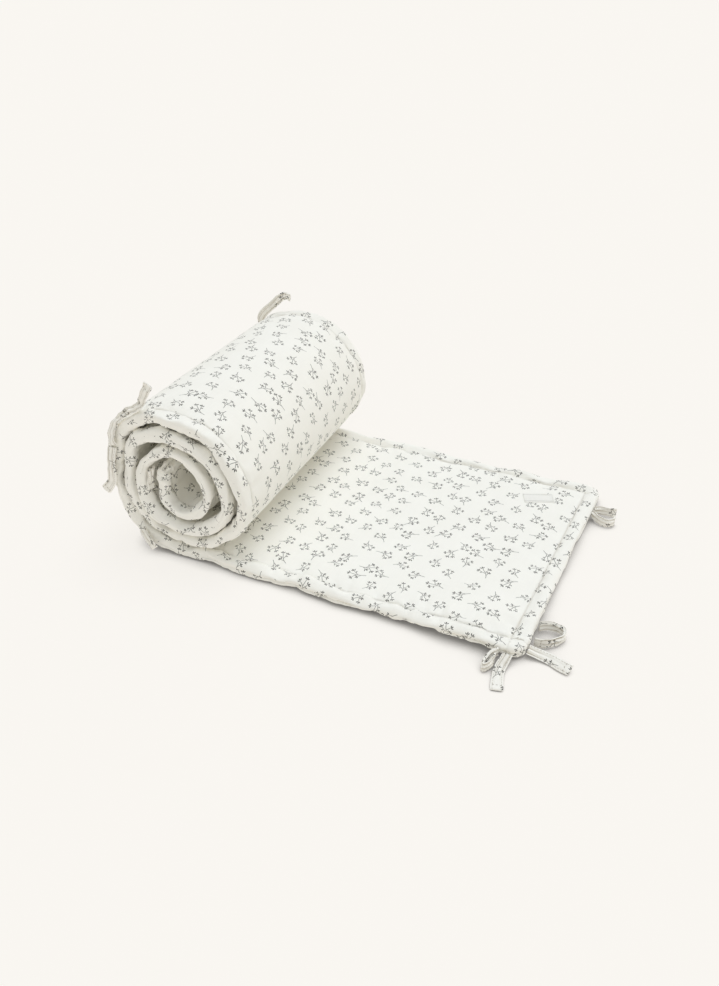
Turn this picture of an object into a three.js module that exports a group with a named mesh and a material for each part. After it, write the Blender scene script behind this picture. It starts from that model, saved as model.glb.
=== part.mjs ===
// Crib bumper: one long padded cotton panel with a top-stitched border. It is wound into a roll from its
// inner end, and the rest lies flat as a tail, with cloth ties sewn into its edges and one small bare label.
// Millimetres, +Z up. X = 0 is the free end of the tail and the roll lies towards -X. Y = 0 is the near
// edge and Z = 0 the floor, until the last lines move the origin to the middle of the underside.
import * as THREE from "three";

// Driving dimensions of the panel
const PANEL_WIDTH = 350;
const TAIL_LENGTH = 408; // flat stretch, from the free end to the start of the roll
const UNDER_DEPTH = 7.6; // from the edge seam down to the under side
const STITCH_INSET = 18; // the sewn line, in from every edge
const CORNER_RADIUS = 18;

// Padding in from any edge: height of the face and depth of the under side, both from the edge seam
const PADDING = [
  { inset: 0, face: 0, under: 0 },
  { inset: 1.5, face: 4.3, under: 4.1 },
  { inset: 5, face: 7.2, under: 6.8 },
  { inset: 10, face: 8, under: UNDER_DEPTH },
  { inset: 15, face: 6.7, under: UNDER_DEPTH },
  { inset: STITCH_INSET, face: 4.2, under: 5.4 },
  { inset: 21.5, face: 5.5, under: UNDER_DEPTH },
  { inset: 30, face: 6.8, under: UNDER_DEPTH },
  { inset: 42, face: 7.3, under: UNDER_DEPTH },
];
const FIELD_LINES = 3; // lines across the flat field, between the two borders
const TAIL_STEP = 34;
const STEPS_PER_TURN = 22;

// Unevenness of the padded edge
const EDGE_WAVE = { reach: 1.3, pitch: 118, fade: 60 };
const BORDER_PUFF = { share: 0.05, pitch: 62 };

// Winding of the roll, a row for each turn from the outside in: the distance from the roll's axis to the
// middle of the padding at eight places round the turn, and how far the turn slips towards the far side
const WINDING = [
  {
    bottom: 85, lowerLeft: 91, left: 86, upperLeft: 91.5,
    top: 85, upperRight: 84.5, right: 84.5, lowerRight: 75, slip: 0,
  },
  {
    bottom: 68.4, lowerLeft: 74.4, left: 69, upperLeft: 72.5,
    top: 64.5, upperRight: 64, right: 66, lowerRight: 57.5, slip: 2,
  },
  {
    bottom: 51.8, lowerLeft: 57.2, left: 51, upperLeft: 46.5,
    top: 47, upperRight: 40, right: 39.5, lowerRight: 34.5, slip: -2,
  },
  { bottom: 35.2, lowerLeft: 33, left: 25, upperLeft: 29.5, slip: 3 },
];
const PLACES = ["bottom", "lowerLeft", "left", "upperLeft", "top", "upperRight", "right", "lowerRight"];
const ROLL_SKEW = 23; // the far end of the roll lies this much further along -X
const ARC_SAMPLE = 1.5; // degrees between samples of the winding's length

// Ties and label
const TIE = { width: 12.5, thickness: 2, hem: 8, hemThickness: 2.8, step: 4 };
const LABEL = { length: 38, width: 20, thickness: 1, turn: 25, x: -67, y: 287 };
const CLEARANCE = 0.35; // between separate pieces

// Ties on the flat tail: `at` is the place of the root along its edge, `tilt` is 0 for a ribbon that lies
// flat and 90 for one that stands on its edge, and each row gives how far a point lies along the edge from
// the root, out from the edge, and above the floor
const TAIL_TIES = [
  {
    name: "tie_end_near_tail", edge: "end", at: 17, tilt: 27,
    path: [
      { along: 0, out: 0.9, height: 7.4 },
      { along: 0, out: 7, height: 6.4 },
      { along: 0.5, out: 15, height: 4.8 },
      { along: -1, out: 26, height: 4.2 },
      { along: -5, out: 37, height: 4.3 },
      { along: -7.5, out: 46.5, height: 4.5 },
    ],
  },
  {
    name: "tie_end_near_loop", edge: "end", at: 56, tilt: 90,
    path: [
      { along: 0, out: 1.2, height: 7.3 },
      { along: 5.5, out: 9, height: 7 },
      { along: 7, out: 18, height: 6.7 },
      { along: 4, out: 26, height: 6.6 },
      { along: -3, out: 28.5, height: 6.6 },
      { along: -11.5, out: 25, height: 6.6 },
      { along: -19, out: 18, height: 6.6 },
      { along: -23.5, out: 10, height: 6.6 },
      { along: -25, out: 3, height: 6.6 },
    ],
  },
  {
    name: "tie_end_far_rise", edge: "end", at: 302, tilt: 90,
    path: [
      { along: 0, out: 1.2, height: 7.3 },
      { along: 4, out: 7, height: 7 },
      { along: 5.5, out: 14, height: 6.7 },
      { along: 6, out: 21, height: 6.7 },
      { along: 9, out: 27, height: 6.7 },
    ],
  },
  {
    name: "tie_end_far_curl", edge: "end", at: 294, tilt: 90,
    path: [
      { along: 0, out: 1.2, height: 7.3 },
      { along: -7, out: 7.5, height: 6.9 },
      { along: -11.5, out: 16, height: 6.6 },
      { along: -12, out: 23, height: 6.6 },
      { along: -7, out: 28, height: 6.6 },
      { along: 0, out: 28, height: 6.6 },
    ],
  },
  {
    name: "tie_near_loop", edge: "near", at: 25, tilt: 90,
    path: [
      { along: 0, out: 1.4, height: 7.3 },
      { along: 4, out: 6.5, height: 6.9 },
      { along: 7, out: 13.5, height: 6.6 },
      { along: 8, out: 21, height: 6.6 },
      { along: 6.8, out: 27.5, height: 6.6 },
      { along: 3.2, out: 22.5, height: 6.6 },
      { along: 1.5, out: 15.5, height: 6.6 },
      { along: 1.2, out: 8.5, height: 6.6 },
    ],
  },
  {
    name: "tie_near_tail", edge: "near", at: 15, tilt: 0,
    path: [
      { along: 0, out: 1.1, height: 7.4 },
      { along: 1, out: 6, height: 4.8 },
      { along: 2.5, out: 13, height: 1.7 },
      { along: 2.2, out: 22, height: 1.5 },
      { along: 0.5, out: 30, height: 1.5 },
      { along: -1.6, out: 38, height: 1.5 },
      { along: -3.8, out: 46, height: 1.5 },
    ],
  },
];

// Ties on the roll: `angle` is the place of the root round the winding, in degrees from the bottom of the
// first turn, and each row gives how far a point lies along the edge, out from it, and away from the seam,
// with how far the ribbon leans back over the roll there
const ROLL_TIES = [
  {
    name: "tie_top_near_rise", edge: "near", angle: 116,
    path: [
      { along: 1.5, out: 1.7, lift: 0, lean: 0 },
      { along: 9, out: 2.2, lift: 4, lean: 12 },
      { along: 18, out: 1, lift: 7.5, lean: 30 },
      { along: 30, out: -1.5, lift: 9.5, lean: 42 },
      { along: 44, out: -4, lift: 10.5, lean: 45 },
      { along: 58, out: -5.5, lift: 11.5, lean: 42 },
      { along: 66, out: -6.5, lift: 16, lean: 32 },
      { along: 72, out: -7, lift: 25, lean: 16 },
      { along: 80, out: -7.5, lift: 37.5, lean: 6 },
    ],
  },
  {
    name: "tie_top_near_hang", edge: "near", angle: 116,
    path: [
      { along: -1.5, out: 1.7, lift: 0, lean: 0 },
      { along: -11, out: 3.6, lift: -1.5, lean: 0 },
      { along: -22, out: 4.6, lift: -2.5, lean: 0 },
      { along: -34, out: 5, lift: -2, lean: 0 },
      { along: -45, out: 5, lift: 0, lean: 0 },
      { along: -53, out: 5, lift: 6, lean: 0 },
      { along: -60, out: 5, lift: 15, lean: 0 },
    ],
  },
  {
    name: "tie_top_far_rise", edge: "far", angle: 120,
    path: [
      { along: 6.5, out: 1.7, lift: 0.5, lean: 0 },
      { along: 10, out: 3.2, lift: 6, lean: 6 },
      { along: 14, out: 3.2, lift: 11.5, lean: 12 },
      { along: 21, out: 2.8, lift: 14, lean: 16 },
      { along: 31, out: 2.2, lift: 15, lean: 18 },
      { along: 41, out: 1.8, lift: 16.5, lean: 20 },
      { along: 50, out: 1.5, lift: 20, lean: 20 },
      { along: 58, out: 1.2, lift: 24, lean: 20 },
      { along: 64, out: 1.2, lift: 25.5, lean: 16 },
      { along: 70, out: 1.2, lift: 22.5, lean: 10 },
    ],
  },
  {
    name: "tie_top_far_hang", edge: "far", angle: 120,
    path: [
      { along: -2.5, out: 1.7, lift: 0.5, lean: 0 },
      { along: -9, out: 4.5, lift: 0, lean: 0 },
      { along: -18, out: 5.6, lift: -2, lean: 0 },
      { along: -28, out: 6, lift: -3, lean: 0 },
      { along: -38, out: 6, lift: -2, lean: 0 },
    ],
  },
  {
    name: "tie_low_near", edge: "near", angle: 40,
    path: [
      { along: 0, out: 1.6, lift: -4, lean: 0 },
      { along: -10, out: 4.5, lift: -3, lean: 0 },
      { along: -19, out: 6, lift: -1, lean: 0 },
      { along: -26, out: 6.5, lift: 3.5, lean: 0 },
    ],
  },
  {
    name: "tie_inner", edge: "near", angle: 838,
    path: [
      { along: 0, out: -4.5, lift: -9, lean: 90 },
      { along: -10, out: -6, lift: -11, lean: 90 },
      { along: -22, out: -6, lift: -11.6, lean: 90 },
      { along: -34, out: -5, lift: -13.5, lean: 90 },
    ],
  },
];

const cotton = new THREE.MeshStandardMaterial({ color: 0xefece4, roughness: 0.92, metalness: 0 });
const tieCotton = new THREE.MeshStandardMaterial({ color: 0xe8e4da, roughness: 0.92, metalness: 0 });
const labelTape = new THREE.MeshStandardMaterial({ color: 0xe4e0d5, roughness: 0.85, metalness: 0 });

// Radius of the winding at an angle in degrees, smooth through the table's places
const radii = WINDING.flatMap((turn) => PLACES.filter((place) => place in turn).map((place) => turn[place]));
const PLACE_ANGLE = 360 / PLACES.length;
const LAST_ANGLE = (radii.length - 1) * PLACE_ANGLE;

function windingRadius(angle) {
  const spot = THREE.MathUtils.clamp(angle / PLACE_ANGLE, 0, radii.length - 1);
  const index = Math.min(Math.floor(spot), radii.length - 2);
  const f = spot - index;
  const before = radii[Math.max(index - 1, 0)];
  const here = radii[index];
  const next = radii[index + 1];
  const after = radii[Math.min(index + 2, radii.length - 1)];
  const slopeHere = (next - before) / 2;
  const slopeNext = (after - here) / 2;
  const bend = 2 * (here - next) + slopeHere + slopeNext;
  return here + f * (slopeHere + f * (3 * (next - here) - 2 * slopeHere - slopeNext + f * bend));
}

function turnSlip(angle) {
  const turn = Math.min(Math.floor(angle / 360), WINDING.length - 2);
  return THREE.MathUtils.lerp(WINDING[turn].slip, WINDING[turn + 1].slip, angle / 360 - turn);
}

// Middle line of the padding, as points at small steps of the winding with their length from the free end
const AXIS_Z = UNDER_DEPTH + radii[0];

function windingPoint(angle) {
  const radius = windingRadius(angle);
  const turn = THREE.MathUtils.degToRad(angle);
  const height = AXIS_Z - radius * Math.cos(turn);
  return new THREE.Vector2(-TAIL_LENGTH - radius * Math.sin(turn), Math.max(height, UNDER_DEPTH));
}

const wound = [{ angle: 0, length: TAIL_LENGTH, point: windingPoint(0) }];
for (let angle = ARC_SAMPLE; angle <= LAST_ANGLE; angle += ARC_SAMPLE) {
  const last = wound[wound.length - 1];
  const point = windingPoint(angle);
  wound.push({ angle, length: last.length + point.distanceTo(last.point), point });
}
const PANEL_LENGTH = wound[wound.length - 1].length;

function angleAt(length) {
  const index = Math.max(wound.findIndex((sample) => sample.length >= length), 1);
  const low = wound[index - 1];
  const high = wound[index];
  return THREE.MathUtils.mapLinear(length, low.length, high.length, low.angle, high.angle);
}

function lengthAt(angle) {
  const index = Math.min(Math.floor(angle / ARC_SAMPLE), wound.length - 2);
  const low = wound[index];
  const high = wound[index + 1];
  return THREE.MathUtils.mapLinear(angle, low.angle, high.angle, low.length, high.length);
}

// Place on the middle line at a length from the free end: the point, the way to the face, and the turn's slip
function spotAt(length) {
  if (length <= TAIL_LENGTH) {
    return { point: new THREE.Vector2(-length, UNDER_DEPTH), toFace: new THREE.Vector2(0, 1), slip: 0 };
  }
  const angle = Math.min(angleAt(length), LAST_ANGLE);
  const ahead = windingPoint(Math.min(angle + ARC_SAMPLE, LAST_ANGLE));
  const behind = windingPoint(Math.max(angle - ARC_SAMPLE, 0));
  const travel = ahead.sub(behind).normalize();
  const toFace = new THREE.Vector2(travel.y, -travel.x);
  return { point: windingPoint(angle), toFace, slip: turnSlip(angle) };
}

// A point of the panel at a length and a width, raised towards the face
function panelPoint(length, width, raise) {
  const { point, toFace, slip } = spotAt(length);
  const skew = ROLL_SKEW * (width / PANEL_WIDTH) * Math.min(length / TAIL_LENGTH, 1) ** 2;
  const inset = Math.min(width, PANEL_WIDTH - width);
  const wave = EDGE_WAVE.reach * Math.sin((2 * Math.PI * length) / EDGE_WAVE.pitch + width / PANEL_WIDTH);
  const edgeShift = wave * Math.max(1 - inset / EDGE_WAVE.fade, 0);
  return new THREE.Vector3(
    point.x - skew + toFace.x * raise,
    width + slip + edgeShift,
    point.y + toFace.y * raise,
  );
}

function padding(inset, side) {
  const row = PADDING.findIndex((entry) => entry.inset >= inset);
  if (row < 0) return PADDING[PADDING.length - 1][side];
  if (row === 0) return PADDING[0][side];
  const low = PADDING[row - 1];
  const high = PADDING[row];
  return THREE.MathUtils.mapLinear(inset, low.inset, high.inset, low[side], high[side]);
}

// Lines of the panel's grid, close together in the borders and wide apart in the field
function gridLines(total, fieldLines) {
  const border = PADDING.map((entry) => entry.inset);
  return [...border, ...fieldLines, ...border.map((inset) => total - inset).reverse()];
}

function evenLines(start, end, count) {
  return Array.from({ length: count }, (_, i) => THREE.MathUtils.lerp(start, end, (i + 1) / (count + 1)));
}

function lengthLines() {
  const border = PADDING[PADDING.length - 1].inset;
  const tail = evenLines(border, TAIL_LENGTH, Math.round((TAIL_LENGTH - border) / TAIL_STEP));
  const lines = [...tail];
  for (let angle = 0; lengthAt(angle) < PANEL_LENGTH - border - UNDER_DEPTH; angle += 360 / STEPS_PER_TURN) {
    lines.push(lengthAt(angle));
  }
  return gridLines(PANEL_LENGTH, lines);
}

// Insets of a grid point from its nearest end and edge, rounded off where both fall in a corner
function roundCorner(endInset, edgeInset) {
  if (endInset >= CORNER_RADIUS || edgeInset >= CORNER_RADIUS) return [endInset, edgeInset];
  const a = 1 - endInset / CORNER_RADIUS;
  const b = 1 - edgeInset / CORNER_RADIUS;
  const roundA = a * Math.sqrt(1 - (b * b) / 2);
  const roundB = b * Math.sqrt(1 - (a * a) / 2);
  return [CORNER_RADIUS * (1 - roundA), CORNER_RADIUS * (1 - roundB)];
}

function closedGeometry(points, triangles) {
  const geometry = new THREE.BufferGeometry().setFromPoints(points);
  geometry.setIndex(triangles.flat());
  geometry.computeVertexNormals();
  return geometry;
}

// The padded panel: a face grid and an under grid that share the edge seam
function panelGeometry() {
  const lengths = lengthLines();
  const border = PADDING[PADDING.length - 1].inset;
  const widths = gridLines(PANEL_WIDTH, evenLines(border, PANEL_WIDTH - border, FIELD_LINES));
  const points = [];
  const triangles = [];
  const rows = { face: [], under: [] };
  lengths.forEach((length, i) => {
    rows.face.push([]);
    rows.under.push([]);
    widths.forEach((width, j) => {
      const nearEnd = length < PANEL_LENGTH / 2;
      const nearEdge = width < PANEL_WIDTH / 2;
      const endInset = nearEnd ? length : PANEL_LENGTH - length;
      const edgeInset = nearEdge ? width : PANEL_WIDTH - width;
      const [roundEnd, roundEdge] = roundCorner(endInset, edgeInset);
      const s = nearEnd ? roundEnd : PANEL_LENGTH - roundEnd;
      const t = nearEdge ? roundEdge : PANEL_WIDTH - roundEdge;
      const inset = Math.min(endInset, edgeInset);
      const phase = (2 * Math.PI * (length + width)) / BORDER_PUFF.pitch;
      const puff = inset < STITCH_INSET ? 1 + BORDER_PUFF.share * Math.sin(phase) : 1;
      rows.face[i].push(points.length);
      points.push(panelPoint(s, t, padding(inset, "face") * puff));
      if (inset === 0) {
        rows.under[i].push(rows.face[i][j]);
        return;
      }
      rows.under[i].push(points.length);
      points.push(panelPoint(s, t, -padding(inset, "under")));
    });
  });
  for (let i = 0; i + 1 < lengths.length; i += 1) {
    for (let j = 0; j + 1 < widths.length; j += 1) {
      const sameHalf = i < lengths.length / 2 === j < widths.length / 2;
      const corners = (row) => [row[i][j], row[i][j + 1], row[i + 1][j + 1], row[i + 1][j]];
      const [a, b, c, d] = corners(rows.face);
      const [e, f, g, h] = corners(rows.under);
      triangles.push(...(sameHalf ? [[a, b, c], [a, c, d]] : [[a, b, d], [b, c, d]]));
      triangles.push(...(sameHalf ? [[e, g, f], [e, h, g]] : [[e, h, f], [f, h, g]]));
    }
  }
  return closedGeometry(points, triangles);
}

// A flat ribbon along a smooth path, thicker over its end hem; `acrossAt` gives its width direction
function ribbonGeometry(path, acrossAt) {
  const curve = new THREE.CatmullRomCurve3(path);
  const steps = Math.ceil(curve.getLength() / TIE.step);
  const hemStart = 1 - TIE.hem / curve.getLength();
  const half = TIE.width / 2;
  const points = [];
  const triangles = [];
  for (let i = 0; i <= steps; i += 1) {
    const share = i / steps;
    const centre = curve.getPointAt(share);
    const tangent = curve.getTangentAt(share);
    const across = acrossAt(share, tangent);
    across.addScaledVector(tangent, -across.dot(tangent)).normalize();
    const normal = new THREE.Vector3().crossVectors(tangent, across);
    const depth = (share > hemStart ? TIE.hemThickness : TIE.thickness) / 2;
    const section = [
      [-half, 0], [depth - half, depth], [half - depth, depth],
      [half, 0], [half - depth, -depth], [depth - half, -depth],
    ];
    for (const [side, raise] of section) {
      points.push(centre.clone().addScaledVector(across, side).addScaledVector(normal, raise));
    }
  }
  const sides = points.length / (steps + 1);
  for (let i = 0; i < steps; i += 1) {
    for (let k = 0; k < sides; k += 1) {
      const a = i * sides + k;
      const b = i * sides + ((k + 1) % sides);
      triangles.push([a, a + sides, b], [b, a + sides, b + sides]);
    }
  }
  const end = steps * sides;
  for (let k = 1; k + 1 < sides; k += 1) {
    triangles.push([0, k, k + 1], [end, end + k + 1, end + k]);
  }
  return closedGeometry(points, triangles);
}

const UP = new THREE.Vector3(0, 0, 1);

function tailTieGeometry({ edge, at, tilt, path }) {
  const points = path.map(({ along, out, height }) =>
    edge === "end"
      ? new THREE.Vector3(out, at + along, height)
      : panelPoint(at + along, 0, 0).setZ(height).add(new THREE.Vector3(0, -out, 0)),
  );
  const turn = THREE.MathUtils.degToRad(tilt);
  const acrossAt = (share, tangent) => {
    const level = new THREE.Vector3().crossVectors(UP, tangent);
    return level.multiplyScalar(Math.cos(turn)).addScaledVector(UP, Math.sin(turn));
  };
  return ribbonGeometry(points, acrossAt);
}

function rollTieGeometry({ edge, angle, path }) {
  const width = edge === "near" ? 0 : PANEL_WIDTH;
  const outward = new THREE.Vector3(0, edge === "near" ? -1 : 1, 0);
  const root = lengthAt(angle);
  const away = (along) => {
    const { toFace } = spotAt(root + along);
    return new THREE.Vector3(-toFace.x, 0, -toFace.y);
  };
  const points = path.map(({ along, out, lift }) => {
    const seam = panelPoint(root + along, width, 0);
    return seam.addScaledVector(outward, out).addScaledVector(away(along), lift);
  });
  const acrossAt = (share, tangent) => {
    const spot = share * (path.length - 1);
    const row = Math.min(Math.floor(spot), path.length - 2);
    const mix = (key) => THREE.MathUtils.lerp(path[row][key], path[row + 1][key], spot - row);
    const lean = THREE.MathUtils.degToRad(mix("lean"));
    const faces = outward.clone().multiplyScalar(Math.cos(lean));
    faces.addScaledVector(away(mix("along")), Math.sin(lean));
    return faces.cross(tangent);
  };
  return ribbonGeometry(points, acrossAt);
}

function named(name, geometry, material) {
  const mesh = new THREE.Mesh(geometry, material);
  mesh.name = name;
  return mesh;
}

function labelMesh() {
  const field = PADDING[PADDING.length - 1].face;
  const plate = new THREE.BoxGeometry(LABEL.length, LABEL.width, LABEL.thickness);
  const mesh = named("label", plate, labelTape);
  mesh.position.set(LABEL.x, LABEL.y, UNDER_DEPTH + field + CLEARANCE + LABEL.thickness / 2);
  mesh.rotation.z = THREE.MathUtils.degToRad(LABEL.turn);
  return mesh;
}

const bumper = new THREE.Group();
bumper.add(named("panel", panelGeometry(), cotton));
bumper.add(labelMesh());
for (const tie of TAIL_TIES) bumper.add(named(tie.name, tailTieGeometry(tie), tieCotton));
for (const tie of ROLL_TIES) bumper.add(named(tie.name, rollTieGeometry(tie), tieCotton));

// Origin at the middle of the underside of the whole
const box = new THREE.Box3().setFromObject(bumper, true);
const middle = box.getCenter(new THREE.Vector3());
for (const piece of bumper.children) piece.position.sub(new THREE.Vector3(middle.x, middle.y, box.min.z));

export default bumper;
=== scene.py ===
import functools
import math

import bpy
import numpy as np
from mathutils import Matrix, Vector
from mathutils.bvhtree import BVHTree


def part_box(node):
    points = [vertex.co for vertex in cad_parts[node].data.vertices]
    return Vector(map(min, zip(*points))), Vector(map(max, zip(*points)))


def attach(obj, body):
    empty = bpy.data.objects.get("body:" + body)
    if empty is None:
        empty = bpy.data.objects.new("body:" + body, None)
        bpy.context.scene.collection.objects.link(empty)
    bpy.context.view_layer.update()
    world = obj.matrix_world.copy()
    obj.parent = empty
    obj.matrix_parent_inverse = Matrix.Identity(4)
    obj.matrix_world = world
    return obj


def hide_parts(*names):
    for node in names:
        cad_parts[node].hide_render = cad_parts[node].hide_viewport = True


# Crib bumper: one long padded panel of sprig-printed cotton, wound into a roll with a flat tail, with cloth
# ties sewn into its edges and one small bare label. Lengths here are millimetres until MM makes them metres.
# X = 0 is the free end of the tail, the roll lies towards -X, Y = 0 is the near edge and Z = 0 the floor.

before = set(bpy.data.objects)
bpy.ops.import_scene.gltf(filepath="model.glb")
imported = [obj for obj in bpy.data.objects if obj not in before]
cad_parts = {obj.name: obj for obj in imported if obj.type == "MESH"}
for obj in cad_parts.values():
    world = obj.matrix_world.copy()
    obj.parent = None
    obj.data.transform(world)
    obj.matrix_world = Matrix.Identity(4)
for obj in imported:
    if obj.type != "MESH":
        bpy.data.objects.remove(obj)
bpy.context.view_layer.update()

MM = 0.001
BODY = "root"

# The panel
PANEL_WIDTH = 350.0
TAIL_LENGTH = 408.0
UNDER_DEPTH = 7.6
STITCH_INSET = 18.0
CORNER_RADIUS = 18.0
ROLL_SKEW = 23.0
EDGE_WAVE_REACH = 1.3
EDGE_WAVE_PITCH = 118.0
EDGE_WAVE_FADE = 60.0
BORDER_PUFF_SHARE = 0.05
BORDER_PUFF_PITCH = 62.0

# Section of the padded border from the seam inwards: for the face and then the under side, the place in from
# the edge and the rise or depth from the seam
BORDER_SECTION = np.array([
    (3.6, 0.0, 3.6, 0.0),
    (1.7, 0.7, 2.0, 0.7),
    (0.2, 2.2, 0.8, 2.3),
    (0.5, 4.6, 1.3, 4.5),
    (2.5, 6.8, 3.4, 6.3),
    (6.0, 8.4, 6.6, 7.4),
    (9.8, 8.9, 10.0, 7.6),
    (13.4, 7.8, 13.4, 7.2),
    (16.2, 5.2, 16.2, 5.6),
    (17.5, 3.2, 17.5, 4.3),
    (STITCH_INSET, 2.6, STITCH_INSET, 3.9),
    (18.6, 3.3, 18.6, 4.4),
    (20.6, 5.1, 20.6, 6.0),
    (24.5, 6.5, 24.5, 7.3),
    (32.0, 7.2, 32.0, 7.6),
    (42.0, 7.4, 42.0, 7.6),
])
STITCH_ROW = 10
FIELD_INSET = BORDER_SECTION[-1, 0]
BORDER_CROWN = BORDER_SECTION[:STITCH_ROW, [1, 3]].max(0)
FILL_SHARE = 0.52
FILL_REACH = 8.0
LAST_TURN_FILL = 1.2
# How much less the seam is drawn in on the roll, row by row from the seam, on the face and the under side
ROLL_SEAM_EASE = np.zeros((len(BORDER_SECTION), 2))
ROLL_SEAM_EASE[:5] = [(3.0, 3.0), (1.5, 1.7), (0.2, 0.7), (0.1, 0.8), (0.0, 0.9)]
ROLL_SEAM_START = (300.0, 470.0)
FINE_PITCH = 6.5
COARSE_PITCH = 10.5
FINE_LENGTH = 960.0
WIDTH_PITCH = 14.5

# Winding of the roll: distance from its axis to the middle of the padding, every 45 degrees from the bottom
WINDING_TURNS = [
    [85, 91, 86, 91.5, 85, 84.5, 84.5, 75],
    [68.4, 74.4, 69, 72.5, 64.5, 64, 66, 57.5],
    [51.8, 57.2, 51, 46.5, 47, 40, 39.5, 34.5],
    [35.2, 33, 25, 29.5],
]
TURN_SLIPS = np.array([0.0, 2.0, -2.0, 3.0])
PLACE_ANGLE = 45.0
ARC_SAMPLE = 1.5
MIDDLE_STEP = 1.0
NORMAL_WINDOW = 13

# The near corner of the tail stands a little off the floor
LIFT_HEIGHT = 5.5
LIFT_PLACE = 74.0
LIFT_LENGTH = 50.0
LIFT_WIDTH = 75.0
TIE_LIFT_REACH = 20.0

# Soft dents pressed into the face: length, width, turn in degrees, half length, half width, depth
DENTS = np.array([
    (197, 300, 20, 46, 13, 1.5),
    (106, 97, -35, 40, 12, 1.4),
    (92, 153, 15, 34, 11, 1.1),
    (166, 44, 5, 52, 10, 1.6),
    (258, 84, 40, 44, 15, 1.2),
    (167, 150, -20, 50, 17, 1.1),
    (90, 232, 50, 38, 12, 1.2),
    (46, 160, 80, 40, 11, 1.2),
    (290, 190, 10, 60, 16, 1.3),
    (300, 300, -15, 50, 14, 1.2),
    (230, 226, -45, 42, 13, 1.0),
])

# Lumps of the filling, as rows of two crossing waves: for each its pitch, its bend and the pitch of the bend,
# and then the share of the row
LUMP_HEIGHT = 0.75
LUMP_WAVES = [
    ((31, 1.7, 57), (43, 0.9, 71), 1.0),
    ((13, 2.1, 29), (17, 1.3, 37), 0.5),
]

# Puckers that the cloth starts with along the sewn lines
PUCKER_START = 0.55
UNDER_PUCKER_START = 0.45
PUCKER_REACH = 17.0
PUCKER_SEED = 4

# Finer puckers on the wound panel: pitch, share and bend of each wave, how it swells and wanders, the sharp
# crease in it, and how the stitches hold it down
RIPPLE_HEIGHT = 1.05
FAR_RIPPLE_LOSS = 0.85
RIPPLES = [(10.9, 0.4, 1.1), (17.3, 0.6, 1.7), (29.0, 0.75, 2.3)]
SWELL_SHARE = 0.35
SWELL_PITCHES = 4.3
SWELL_SLANT = 60.0
WANDER_ACROSS = 23.0
WANDER_ALONG = 71.0
CREASE_DEPTH = 1.3
CREASE_SHARE = 0.38
CREASE_PHASE = 0.8
STITCH_GRIP = 5.0
STITCH_GIVE = 0.1

# Shade painted into the cloth's colour along the sewn lines, where their crease falls in shade
SEAM_SHADE_REACH = 0.9
LONG_SEAM_SHADE = 0.2
END_SEAM_SHADE = 0.5

# Cloth simulation: its settings, and how firmly each part of the panel is held
CLOTH_SETTINGS = {
    "quality": 4, "mass": 0.2, "tension_stiffness": 10, "compression_stiffness": 10, "shear_stiffness": 3,
    "bending_stiffness": 1.5, "tension_damping": 3, "compression_damping": 3, "shear_damping": 3,
    "pin_stiffness": 1, "shrink_min": -0.03, "shrink_max": -0.003, "use_pressure": True,
    "uniform_pressure_force": 1,
}
CLOTH_FRAMES = 18
SLACK_HOLD = 0.03
FIELD_HOLD = 0.7
FIELD_HOLD_START = 22.0
FIELD_HOLD_REACH = 40.0
SEAM_HOLD = 0.5
END_SEAM_HOLD = 0.9
END_HOLD = 0.15
UNDER_MAP_GAP = 60.0
CLOTH_CAP = 3.5

# Ties
TIE_WIDTH = 12.5
TIE_THICKNESS = 1.9
TIE_HEM = 8.0
TIE_HEM_THICKNESS = 2.7
TIE_STEP = 1.1
ROUTE_SAMPLES = 40
TIE_FLOOR_GAP = 0.05
TIE_END_ROUND = 0.8
TIE_END_LEAST = 0.15
TIE_END_NARROWING = 0.06
TIE_WIDTH_WAVE = (0.03, 5.1)
TIE_MAP_SHIFT = (97.0, 41.0)

# Sewing of the ties: place, width and depth of the edge stitching as shares of the half width and thickness,
# and of the hem's stitching in millimetres and as a share
TIE_EDGE_STITCH = 0.68
EDGE_STITCH_WIDTH = 0.09
EDGE_STITCH_DEPTH = 0.3
EDGE_STITCH_RISE = 0.72
HEM_SOFTNESS = 0.35
TIE_HEM_STITCH = 1.6
HEM_STITCH_WIDTH = 0.5
HEM_STITCH_DEPTH = 0.25
HEM_STITCH_PROUD = 0.1
HEM_STITCH_MARGIN = 3

# Pleats that run along the ties and fade from the root, and kinks across them
PLEAT_HEIGHT = 0.9
PLEAT_LEAST = {"laid": 0.15, "folded": 0.8, "draped": 0.7, "hung": 0.6}
PLEAT_WAVES = 2.3
PLEAT_TAKE = 0.08
PLEAT_FADE = 0.45
PLEAT_HEM_LOSS = 0.7
PLEAT_SWELL = (0.35, 11.0, 2.3)
PLEAT_DRIFT = (0.5, 17.0)
# Painted shade: share of a pleat's depth past which its valley is darkened in colour
PAINTED_CREASE_START = 0.6
KINK_HEIGHT = {"laid": 0.42, "folded": 0.6, "draped": 1.2, "hung": 0.8}
KINK_PITCHES = (2.9, 7.3)
KINK_SLANT = 2.2

# The label
LABEL_LENGTH = 38.0
LABEL_WIDTH = 20.0
LABEL_THICKNESS = 0.75
LABEL_GAPS = (0.1, 0.05)
LABEL_SEWN_INSET = 1.6
LABEL_SEWN_DEPTH = 0.3
LABEL_SEWN_WIDTH = 0.5
LABEL_TURNED_UNDER = 4.0
LABEL_TURNED_THICKNESS = 0.35
LABEL_TURNED_SOFTNESS = 0.3
LABEL_RIM = 0.6
LABEL_GRID = (41, 23)
LABEL_RUN_POINTS = 30
LABEL_DROP = 0.1
LABEL_TURN = math.radians(25)
LABEL_PLACE = (-67.0, 287.0)

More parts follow.
